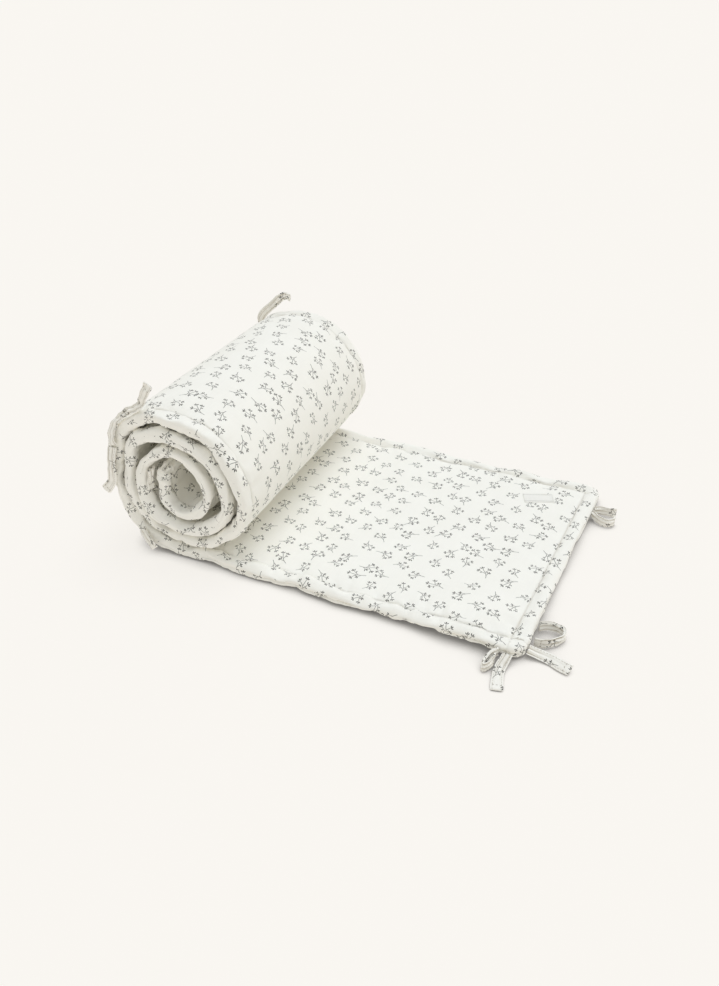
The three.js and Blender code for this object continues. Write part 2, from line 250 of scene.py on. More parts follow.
# Ties on the flat tail: edge, place of the root along it, tilt of the ribbon (0 flat, 90 on its edge), how it
# is held, and the route as rows of (along the edge, out from it, above the floor)
TAIL_TIES = {
    "tie_end_near_tail": ("end", 17, 27, "laid", [
        (0, 0.9, 7.4), (0, 7, 6.4), (0.5, 15, 4.8), (-1, 26, 4.2), (-5, 37, 4.3), (-7.5, 46.5, 4.5),
    ]),
    "tie_end_near_loop": ("end", 56, 90, "folded", [
        (0, 1.2, 7.3), (5.5, 9, 7), (7, 18, 6.7), (4, 26, 6.6), (-3, 28.5, 6.6), (-11.5, 25, 6.6),
        (-19, 18, 6.6), (-23.5, 10, 6.6), (-25, 3, 6.6),
    ]),
    "tie_end_far_rise": ("end", 302, 90, "laid", [
        (0, 1.2, 7.3), (4, 7, 7), (5.5, 14, 6.7), (6, 21, 6.7), (9, 27, 6.7),
    ]),
    "tie_end_far_curl": ("end", 294, 90, "folded", [
        (0, 1.2, 7.3), (-7, 7.5, 6.9), (-11.5, 16, 6.6), (-12, 23, 6.6), (-7, 28, 6.6), (0, 28, 6.6),
    ]),
    "tie_near_loop": ("near", 25, 90, "folded", [
        (0, 1.4, 7.3), (4, 6.5, 6.9), (7, 13.5, 6.6), (8, 21, 6.6), (6.8, 27.5, 6.6), (3.2, 22.5, 6.6),
        (1.5, 15.5, 6.6), (1.2, 8.5, 6.6),
    ]),
    "tie_near_tail": ("near", 15, 0, "laid", [
        (0, 1.1, 7.4), (1, 6, 4.8), (2.5, 13, 1.7), (2.2, 22, 1.5), (0.5, 30, 1.5), (-1.6, 38, 1.5),
        (-3.8, 46, 1.5),
    ]),
}

# Ties on the roll: edge, place of the root round the winding in degrees, how it is held, and the route as
# rows of (along the edge, out from it, away from the seam, lean of the ribbon over the roll)
ROLL_TIES = {
    "tie_top_near_rise": ("near", 116, "draped", [
        (1.5, 1.7, 0, 0), (9, 2.2, 4, 12), (18, 1, 7.5, 30), (30, -1.5, 9.5, 42), (44, -4, 10.5, 45),
        (58, -5.5, 11.5, 42), (66, -6.5, 16, 32), (72, -7, 25, 16), (80, -7.5, 37.5, 6),
    ]),
    "tie_top_near_hang": ("near", 116, "hung", [
        (-1.5, 1.7, 0, 0), (-11, 3.6, -1.5, 0), (-22, 4.6, -2.5, 0), (-34, 5, -2, 0), (-45, 5, 0, 0),
        (-53, 5, 6, 0), (-60, 5, 15, 0),
    ]),
    "tie_top_far_rise": ("far", 120, "draped", [
        (6.5, 1.7, 0.5, 0), (10, 3.2, 6, 6), (14, 3.2, 11.5, 12), (21, 2.8, 14, 16), (31, 2.2, 15, 18),
        (41, 1.8, 16.5, 20), (50, 1.5, 20, 20), (58, 1.2, 24, 20), (64, 1.2, 25.5, 16), (70, 1.2, 22.5, 10),
    ]),
    "tie_top_far_hang": ("far", 120, "hung", [
        (-2.5, 1.7, 0.5, 0), (-9, 4.5, 0, 0), (-18, 5.6, -2, 0), (-28, 6, -3, 0), (-38, 6, -2, 0),
    ]),
    "tie_low_near": ("near", 40, "hung", [
        (0, 1.6, -4, 0), (-10, 4.5, -3, 0), (-19, 6, -1, 0), (-26, 6.5, 3.5, 0),
    ]),
    "tie_inner": ("near", 838, "laid", [
        (0, -4.5, -9, 90), (-10, -6, -11, 90), (-22, -6, -11.6, 90), (-34, -5, -13.5, 90),
    ]),
}

# Stitching
STITCH_PITCH = 3.2
STITCH_LENGTH = 2.5
THREAD_RADIUS = 0.24
STITCH_SIDES = 4
STITCH_PROUD = 0.2
# Rings of one stitch: place as a share of its length, then girth and rise as shares of the thread's radius
STITCH_RINGS = np.array([
    (-0.5, 0.2, -0.5), (-0.34, 0.9, 0.35), (0.0, 1.0, 0.6), (0.34, 0.9, 0.35), (0.5, 0.2, -0.5),
])
RUN_STEP = 1.5

# Camera, from the fit of the panel's corners and the roll to the photograph's frame
VIEW_TARGET = np.array([-254.7, 153.3, 46.7])
VIEW_DISTANCE = 1042.6
VIEW_AZIMUTH = math.radians(26.11)
VIEW_ELEVATION = math.radians(31.92)
LENS = 31.37
SENSOR = 36.0

# Where the panel's own axes lie in the row frame, from the label's place
label_low, label_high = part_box("label")
ROW_SHIFT = np.array([
    (label_low.x + label_high.x) / 2 - LABEL_PLACE[0] * MM,
    (label_low.y + label_high.y) / 2 - LABEL_PLACE[1] * MM,
    0.0,
])


def to_row(points):
    """Metres in the row frame, from millimetres on the panel's own axes."""
    return np.asarray(points) * MM + ROW_SHIFT


# The winding of the panel

RADII = np.array([radius for turn in WINDING_TURNS for radius in turn], float)
LAST_ANGLE = (len(RADII) - 1) * PLACE_ANGLE
AXIS_Z = UNDER_DEPTH + RADII[0]


def winding_radius(angle):
    """Radius of the middle of the padding, smooth through the table's places."""
    spot = np.clip(np.asarray(angle, float) / PLACE_ANGLE, 0, len(RADII) - 1)
    index = np.minimum(spot.astype(int), len(RADII) - 2)
    f = spot - index
    before = RADII[np.maximum(index - 1, 0)]
    here = RADII[index]
    ahead = RADII[index + 1]
    after = RADII[np.minimum(index + 2, len(RADII) - 1)]
    slope_here = (ahead - before) / 2
    slope_ahead = (after - here) / 2
    bend = 2 * (here - ahead) + slope_here + slope_ahead
    return here + f * (slope_here + f * (3 * (ahead - here) - 2 * slope_here - slope_ahead + f * bend))


def winding_points(angle):
    radius = winding_radius(angle)
    turn = np.radians(angle)
    height = np.maximum(AXIS_Z - radius * np.cos(turn), UNDER_DEPTH)
    return np.stack([-TAIL_LENGTH - radius * np.sin(turn), height], -1)


def turn_slip(angle):
    turn = np.minimum(angle // 360, len(TURN_SLIPS) - 2).astype(int)
    return TURN_SLIPS[turn] + (TURN_SLIPS[turn + 1] - TURN_SLIPS[turn]) * (angle / 360 - turn)


def steps_between(points):
    return np.linalg.norm(np.diff(points, axis=0), axis=1)


def lengths_along(points):
    """Length of a line from its first point to each point."""
    return np.concatenate([[0], np.cumsum(steps_between(points))])


def hump(distance, width):
    """A smooth bump of height 1 where the distance is 0."""
    return np.exp(-(distance / width) ** 2)


WOUND_ANGLES = np.arange(0, LAST_ANGLE + ARC_SAMPLE / 2, ARC_SAMPLE)
WOUND_LENGTHS = TAIL_LENGTH + lengths_along(winding_points(WOUND_ANGLES))
PANEL_LENGTH = WOUND_LENGTHS[-1]


def middle_line():
    """Lengths, points, travel directions and slips of the middle of the padding, at even small steps."""
    lengths = np.linspace(0, PANEL_LENGTH, round(PANEL_LENGTH / MIDDLE_STEP) + 1)
    angles = np.interp(lengths, WOUND_LENGTHS, WOUND_ANGLES)
    points = winding_points(angles)
    points[:, 0] -= np.minimum(lengths - TAIL_LENGTH, 0)
    travel = np.gradient(points, axis=0)
    reach = NORMAL_WINDOW // 2
    padded = np.pad(travel, ((reach, reach), (0, 0)), mode="edge")
    window = np.ones(NORMAL_WINDOW) / NORMAL_WINDOW
    smooth = np.stack([np.convolve(padded[:, axis], window, mode="valid") for axis in range(2)], -1)
    smooth /= np.linalg.norm(smooth, axis=1, keepdims=True)
    return lengths, points, smooth, turn_slip(angles)


MIDDLE_LENGTHS, MIDDLE_POINTS, MIDDLE_TRAVEL, MIDDLE_SLIPS = middle_line()


def along_middle(length, values):
    return np.interp(length, MIDDLE_LENGTHS, values)


def to_face(length):
    """Direction from the middle of the padding to its face."""
    travel_x = along_middle(length, MIDDLE_TRAVEL[:, 0])
    travel_z = along_middle(length, MIDDLE_TRAVEL[:, 1])
    return np.stack([travel_z, np.zeros_like(travel_x), -travel_x], -1)


def corner_lift(length, width):
    """Height by which the near corner of the tail stands off the floor."""
    along = hump(np.asarray(length, float) - LIFT_PLACE, LIFT_LENGTH)
    return LIFT_HEIGHT * along * hump(np.asarray(width, float), LIFT_WIDTH)


def panel_points(length, width, raised):
    """Points of the wound panel at a length from the free end, a width, and a rise towards the face."""
    length, width, raised = np.broadcast_arrays(*(np.asarray(v, float) for v in (length, width, raised)))
    inside = np.clip(length, 0, PANEL_LENGTH)
    past = length - inside
    normal = to_face(inside)
    travel_x = -normal[..., 2]
    travel_z = normal[..., 0]
    skew = ROLL_SKEW * (width / PANEL_WIDTH) * np.clip(inside / TAIL_LENGTH, 0, 1) ** 2
    edge_inset = np.minimum(width, PANEL_WIDTH - width)
    wave = EDGE_WAVE_REACH * np.sin(2 * np.pi * length / EDGE_WAVE_PITCH + width / PANEL_WIDTH)
    edge_shift = wave * np.maximum(1 - edge_inset / EDGE_WAVE_FADE, 0)
    return np.stack([
        along_middle(inside, MIDDLE_POINTS[:, 0]) + travel_x * past - skew + normal[..., 0] * raised,
        width + along_middle(inside, MIDDLE_SLIPS) + edge_shift,
        along_middle(inside, MIDDLE_POINTS[:, 1]) + travel_z * past + normal[..., 2] * raised
        + corner_lift(length, width),
    ], -1)


# Meshes

def mesh_object(name, points, faces, material):
    """A smooth mesh object from points in metres, riding on the bumper."""
    mesh = bpy.data.meshes.new(name)
    mesh.from_pydata(np.asarray(points).tolist(), [], [list(map(int, face)) for face in faces])
    mesh.update()
    mesh.shade_smooth()
    piece = bpy.data.objects.new(name, mesh)
    bpy.context.scene.collection.objects.link(piece)
    mesh.materials.append(material)
    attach(piece, BODY)
    return piece


def set_cloth_map(mesh, corner_places):
    """Cloth coordinates in metres, one pair for each corner of each face."""
    layer = mesh.uv_layers.new(name="cloth")
    layer.data.foreach_set("uv", np.asarray(corner_places, np.float32).ravel())


def set_point_values(mesh, name, values):
    """One value for each point of a mesh, kept under a name."""
    layer = mesh.attributes.new(name, "FLOAT", "POINT")
    layer.data.foreach_set("value", np.asarray(values, np.float32).ravel())


def grid_quads(ids):
    return np.stack([ids[:-1, :-1], ids[:-1, 1:], ids[1:, 1:], ids[1:, :-1]], -1).reshape(-1, 4)


def tube_faces(rings, sides):
    """The faces round a tube, and then its two ends."""
    ids = np.arange(rings * sides).reshape(rings, sides)
    around = grid_quads(np.concatenate([ids, ids[:, :1]], 1))[:, ::-1]
    return [*around.tolist(), ids[0].tolist(), ids[-1][::-1].tolist()]


# The padded panel

def panel_rows(field_count):
    """Section row of each grid line: the border inwards, the field, and the border outwards."""
    rows = np.arange(len(BORDER_SECTION))
    return np.concatenate([rows, np.full(field_count, rows[-1]), rows[::-1]])


def panel_lines(total, field, side):
    """Lines of the grid across one direction, on the face (0) or the under side (1)."""
    inset = BORDER_SECTION[:, 2 * side]
    return np.concatenate([inset, field, total - inset[::-1]])


def cloth_lines(total, field, side):
    """Cloth coordinate of each grid line, measured over the puffed section in the border."""
    section = BORDER_SECTION[:, 2 * side:2 * side + 2]
    over = np.concatenate([np.cumsum(steps_between(section)[::-1])[::-1], [0]])
    near = FIELD_INSET - over
    return np.concatenate([near, field, total - near[::-1]])


def evenly(start, end, pitch):
    return np.linspace(start, end, round((end - start) / pitch) + 1)


def rounded_corner(end_inset, edge_inset):
    """Insets from the nearest end and edge, rounded off where both fall in a corner."""
    a = 1 - end_inset / CORNER_RADIUS
    b = 1 - edge_inset / CORNER_RADIUS
    corner = (a > 0) & (b > 0)
    round_a = np.where(corner, a * np.sqrt(np.maximum(1 - b * b / 2, 0)), a)
    round_b = np.where(corner, b * np.sqrt(np.maximum(1 - a * a / 2, 0)), b)
    return CORNER_RADIUS * (1 - round_a), CORNER_RADIUS * (1 - round_b)


def smooth_noise(shape, rng):
    noise = rng.normal(0, 1, shape)
    for _ in range(3):
        for axis in range(2):
            noise = (np.roll(noise, 1, axis) + noise + np.roll(noise, -1, axis)) / 3
    return noise / noise.std()


def filling_lumps(length, width):
    waves = 0.0
    for (pitch, bend, bend_pitch), (cross_pitch, cross_bend, cross_bend_pitch), share in LUMP_WAVES:
        along = np.sin(length / pitch + bend * np.sin(width / bend_pitch))
        across = np.sin(width / cross_pitch + cross_bend * np.sin(length / cross_bend_pitch))
        waves = waves + share * (along * across)
    lumps = LUMP_HEIGHT * waves
    for dent_length, dent_width, turn, half_length, half_width, depth in DENTS:
        a = math.radians(turn)
        u = ((length - dent_length) * math.cos(a) + (width - dent_width) * math.sin(a)) / half_length
        v = ((width - dent_width) * math.cos(a) - (length - dent_length) * math.sin(a)) / half_width
        lumps = lumps - depth * np.exp(-u * u - v * v)
    return lumps


def border_fill(length, side):
    """How far the padded border of the roll swells towards the next turn, on the face or the under side."""
    angle = np.interp(length, WOUND_LENGTHS, WOUND_ANGLES)
    next_turn = angle + (360, -360)[side]
    room = np.abs(winding_radius(next_turn) - winding_radius(angle)) - BORDER_CROWN.sum()
    fill = FILL_SHARE * np.maximum(room, 0) * hump(room, FILL_REACH)
    return np.where(next_turn > LAST_ANGLE, LAST_TURN_FILL, np.where(next_turn < 0, 0, fill))


def weight_group(piece, name, ids, weights):
    group = piece.vertex_groups.new(name=name)
    for index, weight in zip(ids, weights):
        group.add([int(index)], float(weight), "REPLACE")


def settled_cloth(points, faces, hold, ease):
    """Where the cloth comes to rest: held at the sewn line, eased beside it, pressed by the filling."""
    mesh = bpy.data.meshes.new("filling_trial")
    mesh.from_pydata((points * MM).tolist(), [], faces.tolist())
    trial = bpy.data.objects.new("filling_trial", mesh)
    scene = bpy.context.scene
    scene.collection.objects.link(trial)
    ids = range(len(points))
    weight_group(trial, "hold", ids, hold)
    weight_group(trial, "flat", ids, 1 - ease)
    cloth = trial.modifiers.new("cloth", "CLOTH")
    for setting, value in CLOTH_SETTINGS.items():
        setattr(cloth.settings, setting, value)
    cloth.settings.vertex_group_mass = "hold"
    cloth.settings.vertex_group_shrink = "flat"
    cloth.settings.effector_weights.gravity = 0
    cloth.collision_settings.use_collision = False
    cloth.collision_settings.use_self_collision = False
    cloth.point_cache.frame_start = 1
    cloth.point_cache.frame_end = CLOTH_FRAMES
    for step in range(1, CLOTH_FRAMES + 1):
        scene.frame_set(step)
    moved = trial.evaluated_get(bpy.context.evaluated_depsgraph_get()).data
    places = np.empty(len(moved.vertices) * 3)
    moved.vertices.foreach_get("co", places)
    bpy.data.objects.remove(trial)
    scene.frame_set(1)
    shift = places.reshape(-1, 3) / MM - points
    reach = np.linalg.norm(shift, axis=1, keepdims=True)
    return points + shift * np.minimum(1, CLOTH_CAP / np.maximum(reach, 1e-6))


def flat_side(field_lengths, field_widths, side, rng):
    """One side of the panel lying flat: its points, section rows, insets and nearness to the sewn line."""
    length_rows = panel_rows(len(field_lengths))
    width_rows = panel_rows(len(field_widths))
    row = np.minimum(length_rows[:, None], width_rows[None, :])
    lengths = panel_lines(PANEL_LENGTH, field_lengths, side)
    widths = panel_lines(PANEL_WIDTH, field_widths, side)
    length, width = np.meshgrid(lengths, widths, indexing="ij")
    from_start = np.arange(len(lengths))[:, None] < len(lengths) / 2
    from_near = np.arange(len(widths))[None, :] < len(widths) / 2
    end_inset = np.where(from_start, length, PANEL_LENGTH - length)
    edge_inset = np.where(from_near, width, PANEL_WIDTH - width)
    inset = np.minimum(end_inset, edge_inset)
    on_roll = np.clip((length - ROLL_SEAM_START[0]) / np.ptp(ROLL_SEAM_START), 0, 1)
    edge_inset = edge_inset - on_roll * ROLL_SEAM_EASE[width_rows, side]
    round_end, round_edge = rounded_corner(end_inset, edge_inset)
    s = np.where(from_start, round_end, PANEL_LENGTH - round_end)
    t = np.where(from_near, round_edge, PANEL_WIDTH - round_edge)
    beside_stitches = hump(inset - STITCH_INSET, PUCKER_REACH)
    in_border = row < STITCH_ROW
    rise = BORDER_SECTION[row, 2 * side + 1]
    rise = rise * (1 + border_fill(length, side) / BORDER_CROWN[side] * in_border)
    if side == 0:
        puff = np.sin(2 * np.pi * (length + width) / BORDER_PUFF_PITCH)
        rise = rise * (1 + BORDER_PUFF_SHARE * puff * in_border)
        rise = rise + filling_lumps(length, width)
    rise = rise + (PUCKER_START, UNDER_PUCKER_START)[side] * smooth_noise(rise.shape, rng) * beside_stitches
    rise = np.where(row == 0, 0, rise)
    return np.stack([-s, t, rise * (1, -1)[side]], -1), row, inset, beside_stitches


def padded_panel(material):
    """The panel: a face grid and an under grid that share the edge seam, settled flat and then wound."""
    fine = evenly(FIELD_INSET, FINE_LENGTH, FINE_PITCH)[1:]
    coarse = evenly(FINE_LENGTH, PANEL_LENGTH - FIELD_INSET, COARSE_PITCH)[1:-1]
    field_lengths = np.concatenate([fine, coarse])
    field_widths = evenly(FIELD_INSET, PANEL_WIDTH - FIELD_INSET, WIDTH_PITCH)[1:-1]
    rng = np.random.default_rng(PUCKER_SEED)
    face, row, inset, beside_stitches = flat_side(field_lengths, field_widths, 0, rng)
    under = flat_side(field_lengths, field_widths, 1, rng)[0]

    seam = row == 0
    face_ids = np.arange(row.size).reshape(row.shape)
    under_ids = face_ids.copy()
    under_ids[~seam] = row.size + np.arange(np.count_nonzero(~seam))
    points = np.concatenate([face.reshape(-1, 3), under[~seam]])
    faces = np.concatenate([grid_quads(face_ids), grid_quads(under_ids)[:, ::-1]])

    hold = SLACK_HOLD + FIELD_HOLD * np.clip((inset - FIELD_HOLD_START) / FIELD_HOLD_REACH, 0, 1)
    hold = np.where(seam, SEAM_HOLD, hold)
    at_end = np.minimum(-face[..., 0], PANEL_LENGTH + face[..., 0]) < STITCH_INSET
    hold = np.where(at_end & (row < STITCH_ROW), np.where(seam, END_SEAM_HOLD, END_HOLD), hold)
    hold = np.where(row == STITCH_ROW, 1.0, hold)
    both = lambda grid: np.concatenate([grid.ravel(), grid[~seam]])
    points = settled_cloth(points, faces, both(hold), both(beside_stitches))

    wound = panel_points(-points[:, 0], points[:, 1], points[:, 2])
    wound[:, 2] = np.maximum(wound[:, 2], 0)
    panel = mesh_object("padded_panel", to_row(wound), faces, material)

    maps = []
    for side, across in enumerate((0.0, PANEL_WIDTH + UNDER_MAP_GAP)):
        along_cloth = cloth_lines(PANEL_LENGTH, field_lengths, side)
        across_cloth = cloth_lines(PANEL_WIDTH, field_widths, side) + across
        maps.append(np.stack(np.meshgrid(along_cloth, across_cloth, indexing="ij"), -1).reshape(-1, 2))
    corners = [maps[0][grid_quads(face_ids)], maps[1][grid_quads(face_ids)[:, ::-1]]]
    set_cloth_map(panel.data, np.concatenate(corners) * MM)
    set_point_values(panel.data, "along", -points[:, 0])
    set_point_values(panel.data, "across", points[:, 1])
    smooth_once(panel)
    draw_in(panel.data)
    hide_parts("panel")
    return panel


def ripples(along, across):
    """Uneven small waves along a sewn line, bent a little across it."""
    total = np.zeros_like(along)
    for pitch, share, bend in RIPPLES:
        swell = 1 - SWELL_SHARE + SWELL_SHARE * np.sin(along / (SWELL_PITCHES * pitch) + across / SWELL_SLANT)
        wander = bend * np.sin(across / WANDER_ACROSS + along / WANDER_ALONG)
        phase = 2 * np.pi * along / pitch + wander
        creased = hump(np.sin(phase / 2 + CREASE_PHASE), CREASE_SHARE)
        total += share * swell * (np.sin(phase) - CREASE_DEPTH * creased)
    return total


def draw_in(mesh):
    """Puckers across the sewn lines, on the finer mesh, and shade painted into the colour along those lines.
    """
    values = {}
    for name in ("along", "across"):
        values[name] = np.empty(len(mesh.vertices), np.float32)
        mesh.attributes[name].data.foreach_get("value", values[name])
    along, across = values["along"], values["across"]
    height = 0.0
    shade = np.zeros(len(mesh.vertices))
    drawn = RIPPLE_HEIGHT * (1 - FAR_RIPPLE_LOSS * np.clip(across / PANEL_WIDTH * 2 - 0.5, 0, 1))
    long_lines = (across, PANEL_WIDTH, along, PANEL_LENGTH, LONG_SEAM_SHADE)
    end_lines = (along, PANEL_LENGTH, across, PANEL_WIDTH, END_SEAM_SHADE)
    for places, total, beside, beside_total, seam_shade in (long_lines, end_lines):
        from_line = np.minimum(places, total - places) - STITCH_INSET
        held = np.clip(np.abs(from_line) / STITCH_GRIP, STITCH_GIVE, 1)
        height = height + drawn * ripples(beside, places) * held * hump(from_line, PUCKER_REACH)
        sewn = np.clip(np.minimum(beside, beside_total - beside) - STITCH_INSET + 1, 0, 1)
        # Painted shade: a thin darker band of colour along each sewn line, kept in a point attribute
        shade = np.maximum(shade, seam_shade * sewn * hump(from_line, SEAM_SHADE_REACH))
    set_point_values(mesh, "painted_crease_shade", shade)
    places = np.empty(len(mesh.vertices) * 3)
    normals = np.empty(len(mesh.vertices) * 3, np.float32)
    mesh.vertices.foreach_get("co", places)
    mesh.vertex_normals.foreach_get("vector", normals)
    places = places.reshape(-1, 3) + normals.reshape(-1, 3) * (height * MM)[:, None]
    places[:, 2] = np.maximum(places[:, 2], 0)
    mesh.vertices.foreach_set("co", places.ravel())
    mesh.update()


def smooth_once(piece):
    """One subdivision, applied."""
    rounding = piece.modifiers.new("rounding", "SUBSURF")
    rounding.levels = 1
    rounding.render_levels = 1
    evaluated = piece.evaluated_get(bpy.context.evaluated_depsgraph_get())
    finer = bpy.data.meshes.new_from_object(evaluated)
    piece.modifiers.clear()
    piece.data = finer
    finer.shade_smooth()


# Ties

def unit(vectors):
    return vectors / np.linalg.norm(vectors, axis=-1, keepdims=True)


def sampled(values, along, spots):
    """Rows of values at the given spots, from rows at places along a line."""
    return np.stack([np.interp(spots, along, values[:, axis]) for axis in range(3)], -1)


def smooth_route(points, step):
    """Even points, tangents and lengths along a centripetal curve through the given points."""
    points = np.asarray(points, float)
    ends = np.concatenate([[2 * points[0] - points[1]], points, [2 * points[-1] - points[-2]]])
    knots = np.concatenate([[0], np.cumsum(np.sqrt(steps_between(ends)))])
    dense = []
    for i in range(1, len(points)):
        p, k = ends[i - 1:i + 3], knots[i - 1:i + 3]
        for at in np.linspace(k[1], k[2], ROUTE_SAMPLES, endpoint=i == len(points) - 1):
            a = [((k[j + 1] - at) * p[j] + (at - k[j]) * p[j + 1]) / (k[j + 1] - k[j]) for j in range(3)]
            b = [((k[j + 2] - at) * a[j] + (at - k[j]) * a[j + 1]) / (k[j + 2] - k[j]) for j in range(2)]
            dense.append(((k[2] - at) * b[0] + (at - k[1]) * b[1]) / (k[2] - k[1]))
    dense = np.array(dense)
    along = lengths_along(dense)
    even = np.linspace(0, along[-1], math.ceil(along[-1] / step) + 1)
    route = sampled(dense, along, even)
    return route, unit(np.gradient(route, axis=0)), even


def tie_section(count=25):
    """Outline of a folded and stitched tape: side and rise as shares of its half width and half thickness."""
    side = np.sin(np.linspace(-np.pi / 2, np.pi / 2, count))
    stitched = hump(np.abs(side) - TIE_EDGE_STITCH, EDGE_STITCH_WIDTH)
    rise = np.sqrt(1 - np.abs(side) ** 5) * (1 - EDGE_STITCH_DEPTH * stitched)
    return np.concatenate([side, side[-2:0:-1]]), np.concatenate([rise, -rise[-2:0:-1]])


def tie_ribbon(name, route_points, across_at, held, material, phase):
    """One tie along its route, with a hem at its free end; it also gives the runs of its stitching."""
    route, tangent, along = smooth_route(route_points, TIE_STEP)
    length = along[-1]
    across = across_at(along / length, tangent)
    across = unit(across - np.sum(across * tangent, -1, keepdims=True) * tangent)
    normal = np.cross(tangent, across)
    side, rise = tie_section()
    from_end = length - along
    hem = 1 / (1 + np.exp(-(TIE_HEM - from_end) / HEM_SOFTNESS))
    hem_stitch = hump(from_end - TIE_HEM + TIE_HEM_STITCH, HEM_STITCH_WIDTH)
    thickness = TIE_THICKNESS + (TIE_HEM_THICKNESS - TIE_THICKNESS) * hem
    depth = thickness * (1 - HEM_STITCH_DEPTH * hem_stitch) / 2
    end_round = np.sqrt(np.clip(from_end / TIE_END_ROUND, TIE_END_LEAST, 1))
    share, pitch = TIE_WIDTH_WAVE
    narrowed = 1 - TIE_END_NARROWING + TIE_END_NARROWING * end_round
    half = TIE_WIDTH / 2 * (1 + share * np.sin(along / pitch + phase)) * narrowed
    least = PLEAT_LEAST[held]
    near_root = hump(along / length, PLEAT_FADE)
    gather = PLEAT_HEIGHT * (least + (1 - least) * near_root) * (1 - PLEAT_HEM_LOSS * hem)
    share, pitch, turn = PLEAT_SWELL
    gather = gather * (1 + share * np.sin(along / pitch + turn * phase))
    half = half * (1 - PLEAT_TAKE * gather / PLEAT_HEIGHT)
    share, pitch = PLEAT_DRIFT
    drift = share * np.sin(along / pitch + phase)
    wave = np.cos(math.pi * PLEAT_WAVES * side + drift[:, None] + phase)
    pleats = gather[:, None] * wave
    # Painted shade: darker colour in the pleats' valleys, stronger where the tie is gathered
    deep = np.clip(-wave * np.sign(rise) - PAINTED_CREASE_START, 0, 1) / (1 - PAINTED_CREASE_START)
    painted_crease_shade = deep * (gather / PLEAT_HEIGHT)[:, None]
    slanted = np.sin(along[:, None] / KINK_PITCHES[0] + KINK_SLANT * side + phase)
    kinks = slanted * np.sin(along / KINK_PITCHES[1] + phase)[:, None]
    crease = KINK_HEIGHT[held] * kinks + pleats
    lift = rise * (depth * end_round)[:, None] + crease
    sideways = across[:, None] * (side * half[:, None])[..., None]
    points = route[:, None] + sideways + normal[:, None] * lift[..., None]
    points[..., 2] = np.maximum(points[..., 2], TIE_FLOOR_GAP)
    faces = tube_faces(*points.shape[:2])
    tie = mesh_object(name + "_cloth", to_row(points.reshape(-1, 3)), faces, material)
    set_point_values(tie.data, "painted_crease_shade", np.clip(painted_crease_shade, 0, 1))

    girth = np.concatenate([[0], np.cumsum(np.hypot(np.diff(side), np.diff(rise) * 0.2)) * TIE_WIDTH / 2])
    girth = np.append(girth, girth[-1] + girth[1])
    girth_map, along_map = np.meshgrid(girth, along + TIE_MAP_SHIFT[0] * phase)
    place = np.stack([along_map, girth_map + TIE_MAP_SHIFT[1] * phase], -1)
    spots = np.arange(place[..., 0].size).reshape(place.shape[:2])
    corners = place.reshape(-1, 2)[grid_quads(spots)[:, ::-1]].reshape(-1, 2)
    ends = np.concatenate([place[0, :-1], place[-1, :-1][::-1]])
    set_cloth_map(tie.data, np.concatenate([corners, ends]) * MM)
    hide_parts(name)
    runs = []
    for face_side in (1, -1):
        for edge in (-TIE_EDGE_STITCH, TIE_EDGE_STITCH):
            near_edge = np.argmin(np.abs(side - edge) + (np.sign(rise) != face_side))
            rise_there = face_side * depth * EDGE_STITCH_RISE + crease[:, near_edge]
            line = route + across * (edge * half)[:, None] + normal * rise_there[:, None]
            runs.append((line, normal * face_side))
    hem_ring = np.argmin(np.abs(from_end - TIE_HEM + TIE_HEM_STITCH))
    top = len(side) // 2 + 1
    margin = HEM_STITCH_MARGIN
    over_hem = points[hem_ring, margin:top - margin]
    under_hem = points[hem_ring, top + margin:-margin]
    hem_runs = []
    for face_side, ring in ((1, over_hem), (-1, under_hem)):
        outward = np.broadcast_to(normal[hem_ring] * face_side, ring.shape)
        hem_runs.append((ring + outward * HEM_STITCH_PROUD, outward))
    return runs, hem_runs


def tail_tie(name, material, phase):
    edge, at, tilt, held, rows = TAIL_TIES[name]
    along, out, height = np.array(rows, float).T
    if edge == "end":
        points = np.stack([out, at + along, height], -1)
        raised = corner_lift(0, at + along)
    else:
        points = panel_points(at + along, 0, 0)
        points[:, 1] -= out
        points[:, 2] = height
        raised = corner_lift(at + along, 0)
    points[:, 2] += raised * np.clip(1 - out / TIE_LIFT_REACH, 0, 1)
    up = np.array([0.0, 0.0, 1.0])
    turn = math.radians(tilt)

    def across_at(share, tangent):
        return np.cross(up, tangent) * math.cos(turn) + up * math.sin(turn)

    return tie_ribbon(name, points, across_at, held, material, phase)


def roll_tie(name, material, phase):
    edge, angle, held, rows = ROLL_TIES[name]
    along, out, lift, lean = np.array(rows, float).T
    root = np.interp(angle, WOUND_ANGLES, WOUND_LENGTHS)
    width = 0.0 if edge == "near" else PANEL_WIDTH
    outward = np.array([0.0, -1.0 if edge == "near" else 1.0, 0.0])
    seam = panel_points(root + along, width, 0)
    points = seam + outward * out[:, None] - to_face(root + along) * lift[:, None]

    def across_at(share, tangent):
        spot = share * (len(rows) - 1)
        leaning = np.radians(np.interp(spot, np.arange(len(rows)), lean))[:, None]
        away = -to_face(root + np.interp(spot, np.arange(len(rows)), along))
        return np.cross(outward * np.cos(leaning) + away * np.sin(leaning), tangent)

    return tie_ribbon(name, points, across_at, held, material, phase)


# The label

def on_label(u, v, height):
    """Points on the panel's axes, from places along and across the turned label."""
    return np.stack([
        u * math.cos(LABEL_TURN) - v * math.sin(LABEL_TURN) + LABEL_PLACE[0],
        u * math.sin(LABEL_TURN) + v * math.cos(LABEL_TURN) + LABEL_PLACE[1],
        np.full_like(u, height),
    ], -1)


